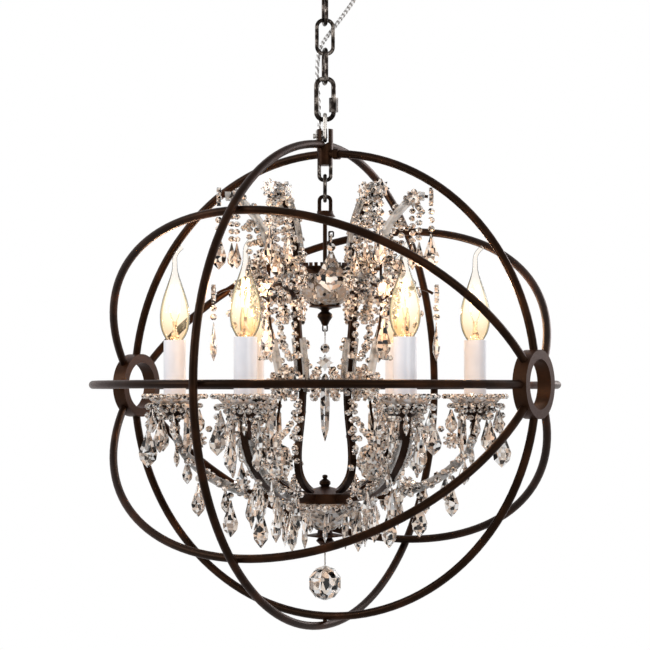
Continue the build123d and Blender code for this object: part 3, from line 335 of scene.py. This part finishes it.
def candle_enamel():
    """White stoved enamel on the candle sleeves: even, faintly orange-peeled, a soft shine."""
    material, tree, place = new_material("candle_enamel")
    spot = place.outputs["Object"]
    peel = add_node(tree, "ShaderNodeTexNoise", Vector=spot, Scale=1 / 0.003, Detail=2.0)
    patch = add_node(tree, "ShaderNodeTexNoise", Vector=spot, Scale=1 / 0.03, Detail=3.0)
    tone = add_node(tree, "ShaderNodeValToRGB", stops=[(0.3, "#e0dfe5"), (0.7, "#eeedf2")], Fac=patch)
    relief = add_node(tree, "ShaderNodeBump", Height=peel, Distance=0.00006)
    shader = add_node(
        tree, "ShaderNodeBsdfPrincipled", Base_Color=tone, Roughness=0.32, Coat_Weight=0.3, Normal=relief
    )
    add_node(tree, "ShaderNodeOutputMaterial", Surface=shader)
    return material


def black_phenolic():
    """Moulded black phenolic of the lampholders: near black, a dull shine."""
    material, tree, place = new_material("black_phenolic")
    patch = add_node(tree, "ShaderNodeTexNoise", Vector=place.outputs["Object"], Scale=1 / 0.005, Detail=3.0)
    tone = add_node(tree, "ShaderNodeValToRGB", stops=[(0.3, "#151311"), (0.7, "#26221f")], Fac=patch)
    shader = add_node(tree, "ShaderNodeBsdfPrincipled", Base_Color=tone, Roughness=0.4)
    add_node(tree, "ShaderNodeOutputMaterial", Surface=shader)
    return material


def sheathed_cord():
    """Clear vinyl over two twisted tinned strands: silver and grey bands that lean along the cord.

    Each band takes about 4 mm of the cord's length.
    """
    material, tree, place = new_material("sheathed_cord")
    twist = add_node(
        tree, "ShaderNodeTexWave", {"wave_type": "BANDS", "bands_direction": "DIAGONAL"},
        Vector=place.outputs["Object"], Scale=0.31 / 0.004, Distortion=1.5, Detail=2.0,
    ).outputs["Fac"]
    silvers = [(0.1, "#8b8784"), (0.5, "#d8d5d2"), (0.9, "#fbfafa")]
    tone = add_node(tree, "ShaderNodeValToRGB", stops=silvers, Fac=twist)
    relief = add_node(tree, "ShaderNodeBump", Height=twist, Distance=0.0003)
    shader = add_node(
        tree, "ShaderNodeBsdfPrincipled", Base_Color=tone, Metallic=0.3, Roughness=0.3,
        Transmission_Weight=0.25, Coat_Weight=0.6, Normal=relief,
    )
    add_node(tree, "ShaderNodeOutputMaterial", Surface=shader)
    return material


def pale_floor():
    """Matt white studio floor."""
    material, tree, place = new_material("pale_floor")
    patch = add_node(tree, "ShaderNodeTexNoise", Vector=place.outputs["Object"], Scale=1 / 0.4, Detail=3.0)
    tone = add_node(tree, "ShaderNodeValToRGB", stops=[(0.3, "#e9e9e9"), (0.7, "#f1f1f1")], Fac=patch)
    shader = add_node(tree, "ShaderNodeBsdfPrincipled", Base_Color=tone, Roughness=0.8)
    add_node(tree, "ShaderNodeOutputMaterial", Surface=shader)
    return material


FINISHES = {
    bronzed_iron: (
        "ring_meridian", "ring_upright", "ring_tilt_left", "ring_tilt_right", "ring_equator", "hub_left",
        "hub_right", "ring_rivets", "ring_ferrule", "top_collar", "frame_bars", "frame_spider", "middle_arms",
        "gallery_ring", "crown_cap", "centre_stem", "upper_finial", "lower_pan", "pan_finial", "bottom_cap",
        "lamp_arms", "canopy_cup", "collar_ring", "candle_cups", "ceiling_crossbar", "hanger_nipple",
    ),
    black_nickel: (
        "chain_link_1", "chain_link_2", "chain_link_3", "quick_link", "quick_link_nut", "inner_link",
        "canopy_loop", "stirrup",
    ),
    satin_nickel: ("hanger_eye", "thumb_screw", "cord_bushing", "cord_gland"),
    cut_crystal: ("rosettes", "bead_strands", "glass_leaves"),
    drop_crystal: ("glass_drops", "spear_pendant", "crown_pendant"),
    ball_crystal: ("ball_pendant",),
    clear_glass: ("arm_glass", "frame_glass"),
    pressed_glass: ("upper_bowl", "lower_bowl", "drip_pans"),
    blown_glass: tuple(f"bulb_{number + 1}" for number in range(ARM_COUNT)),
    candle_enamel: ("candle_sleeves",),
    black_phenolic: ("lampholders",),
    sheathed_cord: ("arm_wires",),
}


# ---- modelling helpers
def clear_selection():
    """Leave edit mode and select nothing."""
    if bpy.context.mode != "OBJECT":
        bpy.ops.object.mode_set(mode="OBJECT")
    bpy.ops.object.select_all(action="DESELECT")


def pick_faces(piece, test):
    """In edit mode, select only the faces that a test of their middle and normal takes."""
    bpy.ops.mesh.select_mode(type="FACE")
    bpy.ops.mesh.select_all(action="DESELECT")
    bpy.ops.object.mode_set(mode="OBJECT")
    for face in piece.data.polygons:
        face.select = bool(test(face.center, face.normal))
    bpy.ops.object.mode_set(mode="EDIT")


def cut_bead(name, radius):
    """One cut bead about the origin: a short drum whose ends are cut back to small tables."""
    clear_selection()
    bpy.ops.mesh.primitive_cylinder_add(vertices=6, radius=radius, depth=0.5 * radius)
    piece = bpy.context.object
    piece.name = name
    bpy.ops.object.mode_set(mode="EDIT")
    pick_faces(piece, lambda middle, normal: abs(normal.z) > 0.9)
    bpy.ops.mesh.inset(thickness=0.5 * radius, depth=0.5 * radius, use_individual=True)
    bpy.ops.mesh.normals_make_consistent(inside=False)
    bpy.ops.object.mode_set(mode="OBJECT")
    return piece


def cut_flower(name, radius):
    """A pressed flower facing along Z: a short drum with a petal drawn out of each side."""
    clear_selection()
    bpy.ops.mesh.primitive_cylinder_add(vertices=8, radius=0.5 * radius, depth=0.4 * radius)
    piece = bpy.context.object
    piece.name = name
    bpy.ops.object.mode_set(mode="EDIT")
    pick_faces(piece, lambda middle, normal: abs(normal.z) < 0.1)
    bpy.ops.mesh.inset(thickness=0.05 * radius, depth=0.45 * radius, use_individual=True)
    pick_faces(piece, lambda middle, normal: abs(normal.z) > 0.9)
    bpy.ops.mesh.inset(thickness=0.22 * radius, depth=0.12 * radius, use_individual=True)
    bpy.ops.mesh.normals_make_consistent(inside=False)
    bpy.ops.object.mode_set(mode="OBJECT")
    return piece


def cut_stone(name, levels, sides=8, flatten=1.0):
    """A stone hanging from the origin, each (depth, radius) level drawn out of the one above it."""
    clear_selection()
    (top, narrow), (low, wide) = levels[:2]
    bpy.ops.mesh.primitive_cone_add(
        vertices=sides, radius1=wide, radius2=narrow, depth=low - top, location=(0, 0, -(top + low) / 2)
    )
    piece = bpy.context.object
    piece.name = name
    bpy.ops.object.mode_set(mode="EDIT")
    pick_faces(piece, lambda middle, normal: normal.z < -0.9)
    for (above, wide), (below, narrow) in zip(levels[1:], levels[2:]):
        bpy.ops.mesh.extrude_region_move(TRANSFORM_OT_translate={"value": (0, 0, above - below)})
        bpy.ops.transform.resize(value=(narrow / wide, narrow / wide, 1))
    bpy.ops.mesh.select_all(action="SELECT")
    bpy.ops.transform.resize(value=(1, flatten, 1), center_override=(0, 0, 0))
    bpy.ops.mesh.normals_make_consistent(inside=False)
    bpy.ops.object.mode_set(mode="OBJECT")
    bpy.ops.object.transform_apply(location=True, rotation=True, scale=True)
    return piece


def cut_pear(name, length, width):
    """A flat pear drop of a length and width."""
    shares = [(0.0, 0.12), (0.16, 0.3), (0.62, 1.0), (0.8, 0.86), (1.0, 0.06)]
    return cut_stone(name, [(length * down, width / 2 * out) for down, out in shares], 8, 0.5)


def cut_prism(name, length, width):
    """A slender drop of a length and width."""
    shares = [(0.0, 0.2), (0.08, 0.75), (0.75, 1.0), (1.0, 0.08)]
    return cut_stone(name, [(length * down, width / 2 * out) for down, out in shares], 6)


def copies(pattern, places, name):
    """Copies of a pattern piece, each with its own mesh, joined as one piece; the pattern is then removed."""
    made = []
    for place in places:
        one = pattern.copy()
        one.data = pattern.data.copy()
        one.data.transform(place)
        bpy.context.collection.objects.link(one)
        made.append(one)
    clear_selection()
    for one in made:
        one.select_set(True)
    bpy.context.view_layer.objects.active = made[0]
    bpy.ops.object.join()
    piece = bpy.context.object
    piece.name = name
    piece.data.name = name
    bpy.data.objects.remove(pattern)
    return piece


def arm_turns():
    """The turn of each lamp arm about the chandelier's axis."""
    return [Matrix.Rotation(FIRST_ARM + 2 * pi * number / ARM_COUNT, 4, "Z") for number in range(ARM_COUNT)]


def at(x, y, z):
    """A move to a place whose height is above the orb's middle, in metres."""
    return Matrix.Translation((x, y, ORB_HEIGHT + z))


def finish(piece, material, body):
    """Give a piece its material and the body it rides on."""
    piece.data.materials.clear()
    piece.data.materials.append(material)
    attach(piece, body)
    return piece


# ---- sizes and colours a user would change
class CHANDELIER_PG_garlands(bpy.types.PropertyGroup):
    """Sizes of the small cut beads."""

    bead_radius: bpy.props.FloatProperty(
        name="Bead radius", description="Radius of the small cut beads", default=0.0042, unit="LENGTH"
    )
    bead_step: bpy.props.FloatProperty(
        name="Bead spacing", description="Distance from bead to bead", default=0.0088, unit="LENGTH"
    )


class CHANDELIER_PG_lamps(bpy.types.PropertyGroup):
    """Sizes inside the candle lamps."""

    filament_height: bpy.props.FloatProperty(
        name="Filament height", description="Height of the filament loop", default=0.036, unit="LENGTH"
    )
    lamp_power: bpy.props.FloatProperty(
        name="Lamp power", description="Light that each lamp gives", default=0.55, unit="POWER"
    )


class CHANDELIER_PG_studio(bpy.types.PropertyGroup):
    """Camera and lamps of the studio."""

    camera_distance: bpy.props.FloatProperty(
        name="Camera distance", description="From the orb's middle to the camera", default=2.627,
        unit="LENGTH",
    )
    camera_azimuth: bpy.props.FloatProperty(
        name="Camera azimuth", description="Direction of view round the chandelier", default=radians(29.88),
        subtype="ANGLE",
    )
    camera_elevation: bpy.props.FloatProperty(
        name="Camera elevation", description="Height of the camera above the orb's middle, as an angle",
        default=radians(-0.25), subtype="ANGLE",
    )
    lens: bpy.props.FloatProperty(
        name="Lens", description="Focal length", default=122.8, unit="CAMERA"
    )
    camera_shift: bpy.props.FloatProperty(
        name="Camera shift", description="Upward shift of the picture, as a share of its width",
        default=0.0922, subtype="FACTOR",
    )


# ---- operators
class CHANDELIER_OT_finishes(bpy.types.Operator):
    """Give every solid its finish"""

    bl_idname = "chandelier.finishes"
    bl_label = "Finishes"

    def execute(self, context):
        for make, names in FINISHES.items():
            material = make()
            for name in names:
                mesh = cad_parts[name].data
                mesh.materials.clear()
                mesh.materials.append(material)
        return {"FINISHED"}


class CHANDELIER_OT_lamps(bpy.types.Operator):
    """Build the glass mount, lead wires and filament inside each candle lamp"""

    bl_idname = "chandelier.lamps"
    bl_label = "Lamp insides"

    def execute(self, context):
        sizes = context.scene.chandelier_lamps
        glass, hot, brass = pressed_glass(), glowing_tungsten(), lamp_brass()
        for number, turn in enumerate(arm_turns()):
            seat = turn @ Matrix.Translation((LAMP_RADIUS, 0, SLEEVE_TOP))
            body = f"lamp_{number + 1}"
            finish(make_mount(f"lamp_mount_{number + 1}", seat), glass, body)
            finish(make_leads(f"lamp_leads_{number + 1}", seat), brass, body)
            finish(make_filament(f"filament_{number + 1}", seat, sizes.filament_height), hot, body)
            light = bpy.data.lights.new(f"lamp_light_{number + 1}", "POINT")
            light.energy = sizes.lamp_power
            light.color = linear("#ffd9ae")[:3]
            light.shadow_soft_size = 0.008
            glow = bpy.data.objects.new(f"lamp_light_{number + 1}", light)
            context.collection.objects.link(glow)
            glow.location = seat @ Vector((0, 0, LAMP_LIGHT_HEIGHT))
            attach(glow, body)
        return {"FINISHED"}


def make_mount(name, seat):
    """The flared glass mount that holds the wires."""
    clear_selection()
    bpy.ops.mesh.primitive_cone_add(
        vertices=20, radius1=0.0058, radius2=0.0022, depth=0.012, location=(0, 0, 0.008)
    )
    piece = bpy.context.object
    bpy.ops.object.mode_set(mode="EDIT")
    pick_faces(piece, lambda middle, normal: normal.z > 0.9)
    bpy.ops.mesh.extrude_region_move(TRANSFORM_OT_translate={"value": (0, 0, 0.008)})
    bpy.ops.transform.resize(value=(1.3, 0.6, 1.0))
    bpy.ops.object.mode_set(mode="OBJECT")
    bpy.ops.object.shade_smooth_by_angle(angle=radians(40))
    bpy.ops.object.transform_apply(location=True, rotation=True, scale=True)
    piece.data.transform(seat)
    piece.name = name
    return piece


def wire_piece(name, points, radius, seat):
    """A bent wire through points, as a mesh."""
    clear_selection()
    line = bpy.data.curves.new(name, "CURVE")
    line.dimensions = "3D"
    spline = line.splines.new("NURBS")
    spline.points.add(len(points) - 1)
    for point, place in zip(spline.points, points):
        point.co = (*place, 1)
    spline.order_u = 3
    spline.use_endpoint_u = True
    line.bevel_depth = radius
    line.bevel_resolution = 2
    line.use_fill_caps = True
    piece = bpy.data.objects.new(name, line)
    bpy.context.collection.objects.link(piece)
    piece.select_set(True)
    bpy.context.view_layer.objects.active = piece
    bpy.ops.object.convert(target="MESH")
    piece = bpy.context.object
    piece.data.transform(seat)
    piece.name = name
    return piece


def make_leads(name, seat):
    """The two lead wires, from the mount out to the filament's ends."""
    bends = ((0.0015, 0.018), (0.002, 0.024), (0.0048, 0.028), (0.0052, 0.034))
    wires = []
    for side in (-1, 1):
        points = [(side * out, 0, up) for out, up in bends]
        wires.append(wire_piece(f"{name}_{side}", points, LEAD_RADIUS, seat))
    clear_selection()
    for one in wires:
        one.select_set(True)
    bpy.context.view_layer.objects.active = wires[0]
    bpy.ops.object.join()
    wires[0].name = name
    return wires[0]


def make_filament(name, seat, height):
    """The filament's tall loop between the lead wires."""
    low = FILAMENT_LOW
    points = [
        (-0.0052, 0, low), (-0.006, 0.001, low + 0.5 * height), (-0.003, 0.0015, low + height),
        (0, 0, low + 0.55 * height), (0.003, -0.0015, low + height), (0.006, -0.001, low + 0.5 * height),
        (0.0052, 0, low),
    ]
    return wire_piece(name, points, FILAMENT_RADIUS, seat)


def arm_place(share):
    """A point on a lamp arm's line: distance from the axis and height above the orb's middle."""
    angle = -pi / 2 + share * pi / 2
    return ARM_START + ARM_RUN * cos(angle), ARM_TOP + ARM_RISE * sin(angle)


# A frame bar's line: distance from the axis and height above the orb's middle.
FRAME_LINE = [
    (0.122, 0.223), (0.105, 0.221), (0.088, 0.206), (0.074, 0.186), (0.067, 0.160), (0.067, 0.100),
    (0.061, 0.050), (0.053, 0.000), (0.058, -0.050), (0.064, -0.084), (0.059, -0.108), (0.045, -0.1205),
    (0.032, -0.1258),
]


def frame_place(share):
    """A point on a frame bar's line and the line's direction there."""
    lengths = [0.0]
    for (x, z), (far_x, far_z) in zip(FRAME_LINE, FRAME_LINE[1:]):
        lengths.append(lengths[-1] + hypot(far_x - x, far_z - z))
    goal = share * lengths[-1]
    number = max(index for index, length in enumerate(lengths[:-1]) if length <= goal)
    (x, z), (far_x, far_z) = FRAME_LINE[number], FRAME_LINE[number + 1]
    run = lengths[number + 1] - lengths[number]
    part = (goal - lengths[number]) / run
    return x + (far_x - x) * part, z + (far_z - z) * part, (far_x - x) / run, (far_z - z) / run


def beads_beside_arms(step):
    """Places for beads on both sides of each lamp arm."""
    places = []
    count = int(0.16 / step)
    for turn in arm_turns():
        for number in range(count):
            x, z = arm_place(0.12 + 0.8 * number / (count - 1))
            for side in (-1, 1):
                spot = (x, side * (0.0105 + 0.0014 * sin(2.6 * number)), z + 0.004 * sin(1.9 * number + side))
                places.append(turn @ at(*spot) @ Matrix.Rotation(0.7 * number, 4, "X"))
    return places


def beads_beside_frame(step):
    """Places for beads beside each frame bar's crook and its lower half, leaving its chest bare."""
    places = []
    count = int(0.40 / step)
    for turn in arm_turns():
        for number in range(count):
            share = 0.04 + 0.86 * number / (count - 1)
            if number % 7 in (2, 5) or 0.24 < share < 0.5:
                continue
            x, z, along_x, along_z = frame_place(share)
            off = 0.0078 + 0.0018 * sin(4.1 * number)
            off = -off if share < 0.6 else off
            sway = 0.006 * sin(2.3 * number)
            spot = (x - along_z * off, sway, z + along_x * off)
            places.append(turn @ at(*spot) @ Matrix.Rotation(0.9 * number, 4, "Y"))
    return places


def beads_on_middle_arms():
    """Places for beads over and under each middle arm, from the frame bar out to its rosette."""
    places = []
    for turn in arm_turns():
        for number in range(6):
            x = 0.078 + 0.0062 * number
            z = 0.1075 + 0.0065 * sin(pi * number / 8)
            side = -1 if number % 2 else 1
            beside = (x, side * 0.0062, z + 0.0012 * side)
            over = (x + 0.002, side * 0.0015, z + 0.0068 * side)
            places.append(turn @ at(*beside) @ Matrix.Rotation(0.8 * number, 4, "X"))
            places.append(turn @ at(*over) @ Matrix.Rotation(number, 4, "Y"))
    return places


# Where strands hang from each crook: distance from the axis, sideways and the first bead's height.
CROOK_STRANDS = [(0.104, 0.0115, 0.207), (0.111, -0.0105, 0.209), (0.090, -0.0120, 0.194)]


def beads_under_crooks(step):
    """Places for the beads of the short strands that hang from each crook."""
    places = []
    for turn in arm_turns():
        for x, y, top in CROOK_STRANDS:
            for number in range(5):
                places.append(turn @ at(x, y, top - number * step) @ Matrix.Rotation(0.7 * number, 4, "Z"))
    return places


def ring_places(distance, height, count, turn=Matrix(), centre=0.0, start=0.0):
    """Places round a circle that stands level, the first at a start angle."""
    places = []
    for number in range(count):
        around = start + 2 * pi * number / count
        spin = Matrix.Rotation(around, 4, "Z")
        places.append(turn @ Matrix.Translation((centre, 0, 0)) @ spin @ at(distance, 0, height))
    return places


def hang(pattern, places, name, crystal):
    """Copies of a pattern at its places, in a crystal, as one piece of the chandelier."""
    return finish(copies(pattern, places, name), crystal, "chandelier")


class CHANDELIER_OT_garlands(bpy.types.Operator):
    """String small cut beads along the arms, round the pans and bowls and down the frame"""

    bl_idname = "chandelier.garlands"
    bl_label = "Garlands"

    def execute(self, context):
        sizes = context.scene.chandelier_garlands
        radius, step = sizes.bead_radius, sizes.bead_step
        crystal = cut_crystal("garland_crystal", 0.0026)
        hang(cut_bead("bead", radius), beads_beside_arms(step), "arm_garlands", crystal)
        hang(cut_bead("bead", radius), beads_beside_frame(step), "frame_garlands", crystal)
        hang(cut_bead("bead", radius), beads_on_middle_arms(), "middle_arm_beads", crystal)
        hang(cut_bead("bead", radius), beads_under_crooks(step), "crook_strands", crystal)
        pan_places = []
        for turn in arm_turns():
            for distance, height, count, start in PAN_ROWS:
                pan_places += ring_places(distance, height, count, turn, LAMP_RADIUS, start)
        hang(cut_bead("bead", 0.95 * radius), pan_places, "drip_pan_fringe", crystal)
        bowl_places = ring_places(0.0445, 0.1265, 30) + ring_places(0.0400, -0.1440, 26)
        hang(cut_bead("bead", radius), bowl_places, "bowl_fringes", crystal)
        return {"FINISHED"}


def chest_cluster(turn):
    """Flowers packed both sides of a frame bar below the gallery."""
    spots = [
        (0.076, 0.0125, 0.150), (0.084, 0.0110, 0.139), (0.077, 0.0155, 0.127), (0.083, 0.0140, 0.117),
        (0.080, 0.0125, 0.095), (0.076, 0.0115, 0.083),
    ]
    places = []
    for x, y, z in spots:
        for side in (-1, 1):
            lean = Matrix.Rotation(0.5 * side * cos(90 * z), 4, "Z")
            places.append(turn @ at(x, side * y, z) @ lean @ Matrix.Rotation(side * pi / 2, 4, "X"))
    return places


def waist_cluster(turn):
    """Flowers round a frame bar's waist, level with the equator ring."""
    spots = [(0.047, 0.0150, 0.012), (0.060, 0.0170, 0.003), (0.050, 0.0160, -0.010)]
    places = []
    for x, y, z in spots:
        for side in (-1, 1):
            places.append(turn @ at(x, side * y, z) @ Matrix.Rotation(side * (pi / 2 - 0.3), 4, "X"))
    return places


class CHANDELIER_OT_stones(bpy.types.Operator):
    """Hang more pears, prisms and flowers where the photograph shows them thickest"""

    bl_idname = "chandelier.stones"
    bl_label = "Stones and flowers"

    def execute(self, context):
        crystal = cut_crystal("stone_crystal", 0.0050)
        pan_pears, arm_pears, crook_pears, prisms, flowers = [], [], [], [], []
        quarter = Matrix.Rotation(pi / 2, 4, "Y")
        for turn in arm_turns():
            for angle, down in PAN_PEARS:
                around = radians(angle)
                out, aside = PAN_PEAR_RADIUS * cos(around), PAN_PEAR_RADIUS * sin(around)
                spot = (LAMP_RADIUS + out, aside, PAN_PEAR_HEIGHT - down)
                pan_pears.append(turn @ at(*spot) @ Matrix.Rotation(1.3 * around, 4, "Z"))
            for x, y, top in CROOK_STRANDS:
                crook_pears.append(turn @ at(x, y, top - 0.040) @ Matrix.Rotation(90 * y, 4, "Z"))
            for share, side in ARM_PEARS:
                x, z = arm_place(share)
                spin = Matrix.Rotation(0.8 * side + x * 40, 4, "Z")
                arm_pears.append(turn @ at(x, side * 0.0135, z - 0.004) @ spin)
            prisms.append(turn @ at(0.0475, 0, -0.1500))
            prisms.append(turn @ at(0.0865, 0.0125, -0.1280))
            for share in FRAME_FLOWERS:
                x, z, along_x, along_z = frame_place(share)
                spot = (x + along_z * -FRAME_FLOWER_OFF, 0, z + along_x * FRAME_FLOWER_OFF)
                tilt = Matrix.Rotation(atan2(along_x, along_z) + pi / 2, 4, "Y")
                flowers.append(turn @ at(*spot) @ tilt @ quarter)
            flowers.append(turn @ at(0.079, 0, 0.128) @ quarter)
            flowers += chest_cluster(turn) + waist_cluster(turn)
            for side in (-1, 1):
                outward = Matrix.Rotation(side * pi / 2, 4, "X")
                flowers.append(turn @ at(0.150, side * 0.0155, -0.066) @ outward)
                flowers.append(turn @ at(0.098, side * 0.0155, -0.118) @ outward)
        bowl_pears = ring_places(0.0460, 0.1200, 12, start=radians(15))
        bowl_pears += ring_places(0.0412, -0.1490, 12, start=0.1)
        hang(cut_pear("stone", 0.028, 0.014), pan_pears, "pan_pears", crystal)
        hang(cut_pear("stone", 0.030, 0.015), arm_pears, "arm_pears", crystal)
        hang(cut_pear("stone", 0.030, 0.016), crook_pears, "crook_pears", crystal)
        hang(cut_prism("stone", 0.042, 0.008), prisms, "arm_prisms", crystal)
        hang(cut_pear("stone", 0.024, 0.012), bowl_pears, "bowl_pears", crystal)
        hang(cut_flower("flower", 0.0105), flowers, "flower_clusters", crystal)
        return {"FINISHED"}


# ---- supply cord: its route in metres, across and behind the middle of the chain
CORD_ROUTE = [
    (0.042, 0.0, -0.034), (0.042, 0.0, -0.048), (0.036, 0.003, -0.061), (0.0245, 0.0065, -0.077),
    (0.009, 0.0088, -0.097), (-0.0055, 0.0092, -0.116), (-0.0094, 0.009, -0.137), (-0.009, 0.0094, -0.159),
    (-0.0072, 0.0103, -0.181), (-0.0065, 0.0112, -0.201), (-0.0065, 0.0112, -0.21705),
]


class CHANDELIER_OT_cord(bpy.types.Operator):
    """Lay the supply cord from the canopy's bushing through the chain to the collar's gland"""

    bl_idname = "chandelier.cord"
    bl_label = "Supply cord"

    def execute(self, context):
        finish_cord = sheathed_cord()
        turn = Matrix.Rotation(FIRST_ARM, 4, "Z")
        line = bpy.data.curves.new("cord_route", "CURVE")
        line.dimensions = "3D"
        line.resolution_u = 10
        spline = line.splines.new("NURBS")
        spline.points.add(len(CORD_ROUTE) - 1)
        for point, place in zip(spline.points, CORD_ROUTE):
            point.co = (*(turn @ Vector(place)), 1)
        spline.order_u = 3
        spline.use_endpoint_u = True
        route = bpy.data.objects.new("cord_route", line)
        context.collection.objects.link(route)
        context.view_layer.update()
        traced = bpy.data.meshes.new_from_object(route)
        points = [vertex.co.copy() for vertex in traced.vertices]
        bpy.data.objects.remove(route)
        bpy.data.meshes.remove(traced)

        lengths = [0.0]
        for one, other in zip(points, points[1:]):
            lengths.append(lengths[-1] + (other - one).length)
        bodies = ("ceiling", "link_one", "link_two", "link_three", "quick", "eye", "cage")
        spans = len(bodies) - 1
        goals = [lengths[-1] * number / spans for number in range(spans + 1)]
        ends = [min(range(len(points)), key=lambda index: abs(lengths[index] - goal)) for goal in goals]
        for number, (first, last) in enumerate(zip(ends, ends[1:])):
            span = points[first : last + 1]
            piece = cord_span(f"supply_cord_{number + 1}", span)
            piece.data.materials.append(finish_cord)
            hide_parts("supply_cord")
            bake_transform(piece)
        return {"FINISHED"}


def cord_span(name, points):
    """One stretch of the cord as a closed mesh tube along points."""
    clear_selection()
    line = bpy.data.curves.new(name, "CURVE")
    line.dimensions = "3D"
    spline = line.splines.new("POLY")
    spline.points.add(len(points) - 1)
    for point, place in zip(spline.points, points):
        point.co = (*place, 1)
    line.bevel_depth = CORD_DIAMETER / 2
    line.bevel_resolution = 4
    line.use_fill_caps = True
    piece = bpy.data.objects.new(name, line)
    bpy.context.collection.objects.link(piece)
    piece.select_set(True)
    bpy.context.view_layer.objects.active = piece
    bpy.ops.object.convert(target="MESH")
    bpy.ops.object.shade_smooth_by_angle(angle=radians(40))
    piece = bpy.context.object
    piece.name = name
    return piece


class CHANDELIER_OT_studio(bpy.types.Operator):
    """Set up the floor, the lamps, the world and the camera"""

    bl_idname = "chandelier.studio"
    bl_label = "Studio"

    def execute(self, context):
        scene = context.scene
        scene.view_settings.view_transform = "Standard"
        studio = scene.chandelier_studio
        clear_selection()
        bpy.ops.mesh.primitive_grid_add(x_subdivisions=8, y_subdivisions=8, size=3.0, location=(0, 0, -1.7))
        floor = context.object
        floor.name = "studio_floor"
        floor.data.materials.append(pale_floor())

        world = bpy.data.worlds.new("studio_world")
        world.use_nodes = True
        tree = world.node_tree
        tree.nodes.clear()
        path = add_node(tree, "ShaderNodeLightPath")
        first = add_node(
            tree, "ShaderNodeMath", {"operation": "MAXIMUM"}, i0=path.outputs["Is Camera Ray"],
            i1=path.outputs["Is Glossy Ray"],
        )
        seen = add_node(
            tree, "ShaderNodeMath", {"operation": "MAXIMUM"}, i0=first.outputs[0],
            i1=path.outputs["Is Transmission Ray"],
        )
        strength = add_node(tree, "ShaderNodeMapRange", i0=seen.outputs[0], i1=0.0, i2=1.0, i3=0.55, i4=1.0)
        sky = add_node(tree, "ShaderNodeBackground", Color=linear("#ffffff"), Strength=strength)
        add_node(tree, "ShaderNodeOutputWorld", Surface=sky.outputs[0])
        scene.world = world

        for name, place, size, power in (
            ("key_lamp", (-1.6, -1.9, 0.4), 1.0, 28.0),
            ("fill_lamp", (2.0, -1.2, -0.3), 1.2, 14.0),
            ("back_lamp", (0.6, 1.8, 0.1), 1.0, 16.0),
        ):
            light = bpy.data.lights.new(name, "AREA")
            light.size = size
            light.energy = power
            lamp = bpy.data.objects.new(name, light)
            scene.collection.objects.link(lamp)
            lamp.location = place
            aim = Vector((0, 0, ORB_HEIGHT)) - Vector(place)
            lamp.rotation_euler = aim.to_track_quat("-Z", "Y").to_euler()

        azimuth, elevation = studio.camera_azimuth, studio.camera_elevation
        back = Vector((sin(azimuth) * cos(elevation), -cos(azimuth) * cos(elevation), sin(elevation)))
        data = bpy.data.cameras.new("photo_camera")
        data.sensor_width = 36
        data.lens = studio.lens
        data.shift_y = studio.camera_shift
        data.clip_end = 100
        camera = bpy.data.objects.new("photo_camera", data)
        scene.collection.objects.link(camera)
        camera.location = Vector((0, 0, ORB_HEIGHT)) + back * studio.camera_distance
        camera.rotation_euler = (-back).to_track_quat("-Z", "Y").to_euler()
        scene.camera = camera
        return {"FINISHED"}


class CHANDELIER_PT_panel(bpy.types.Panel):
    """The chandelier's pieces"""

    bl_label = "Orb chandelier"
    bl_idname = "CHANDELIER_PT_panel"
    bl_space_type = "VIEW_3D"
    bl_region_type = "UI"
    bl_category = "Orb chandelier"

    def draw(self, context):
        scene = context.scene
        for group in (scene.chandelier_garlands, scene.chandelier_lamps, scene.chandelier_studio):
            for name in group.__annotations__:
                self.layout.prop(group, name)
        for step in STEPS:
            self.layout.operator(step.bl_idname)


STEPS = (
    CHANDELIER_OT_finishes,
    CHANDELIER_OT_lamps,
    CHANDELIER_OT_garlands,
    CHANDELIER_OT_stones,
    CHANDELIER_OT_cord,
    CHANDELIER_OT_studio,
)
GROUPS = {
    "chandelier_garlands": CHANDELIER_PG_garlands,
    "chandelier_lamps": CHANDELIER_PG_lamps,
    "chandelier_studio": CHANDELIER_PG_studio,
}


def register():
    """Register the property groups, the operators and the panel."""
    for name, group in GROUPS.items():
        bpy.utils.register_class(group)
        setattr(bpy.types.Scene, name, bpy.props.PointerProperty(type=group))
    for step in STEPS:
        bpy.utils.register_class(step)
    bpy.utils.register_class(CHANDELIER_PT_panel)


def unregister():
    """Undo register."""
    bpy.utils.unregister_class(CHANDELIER_PT_panel)
    for step in reversed(STEPS):
        bpy.utils.unregister_class(step)
    for name, group in GROUPS.items():
        delattr(bpy.types.Scene, name)
        bpy.utils.unregister_class(group)


def main():
    """Dress the chandelier."""
    register()
    bpy.ops.chandelier.finishes()
    bpy.ops.chandelier.lamps()
    bpy.ops.chandelier.garlands()
    bpy.ops.chandelier.stones()
    bpy.ops.chandelier.cord()
    bpy.ops.chandelier.studio()


if __name__ == "__main__":
    main()
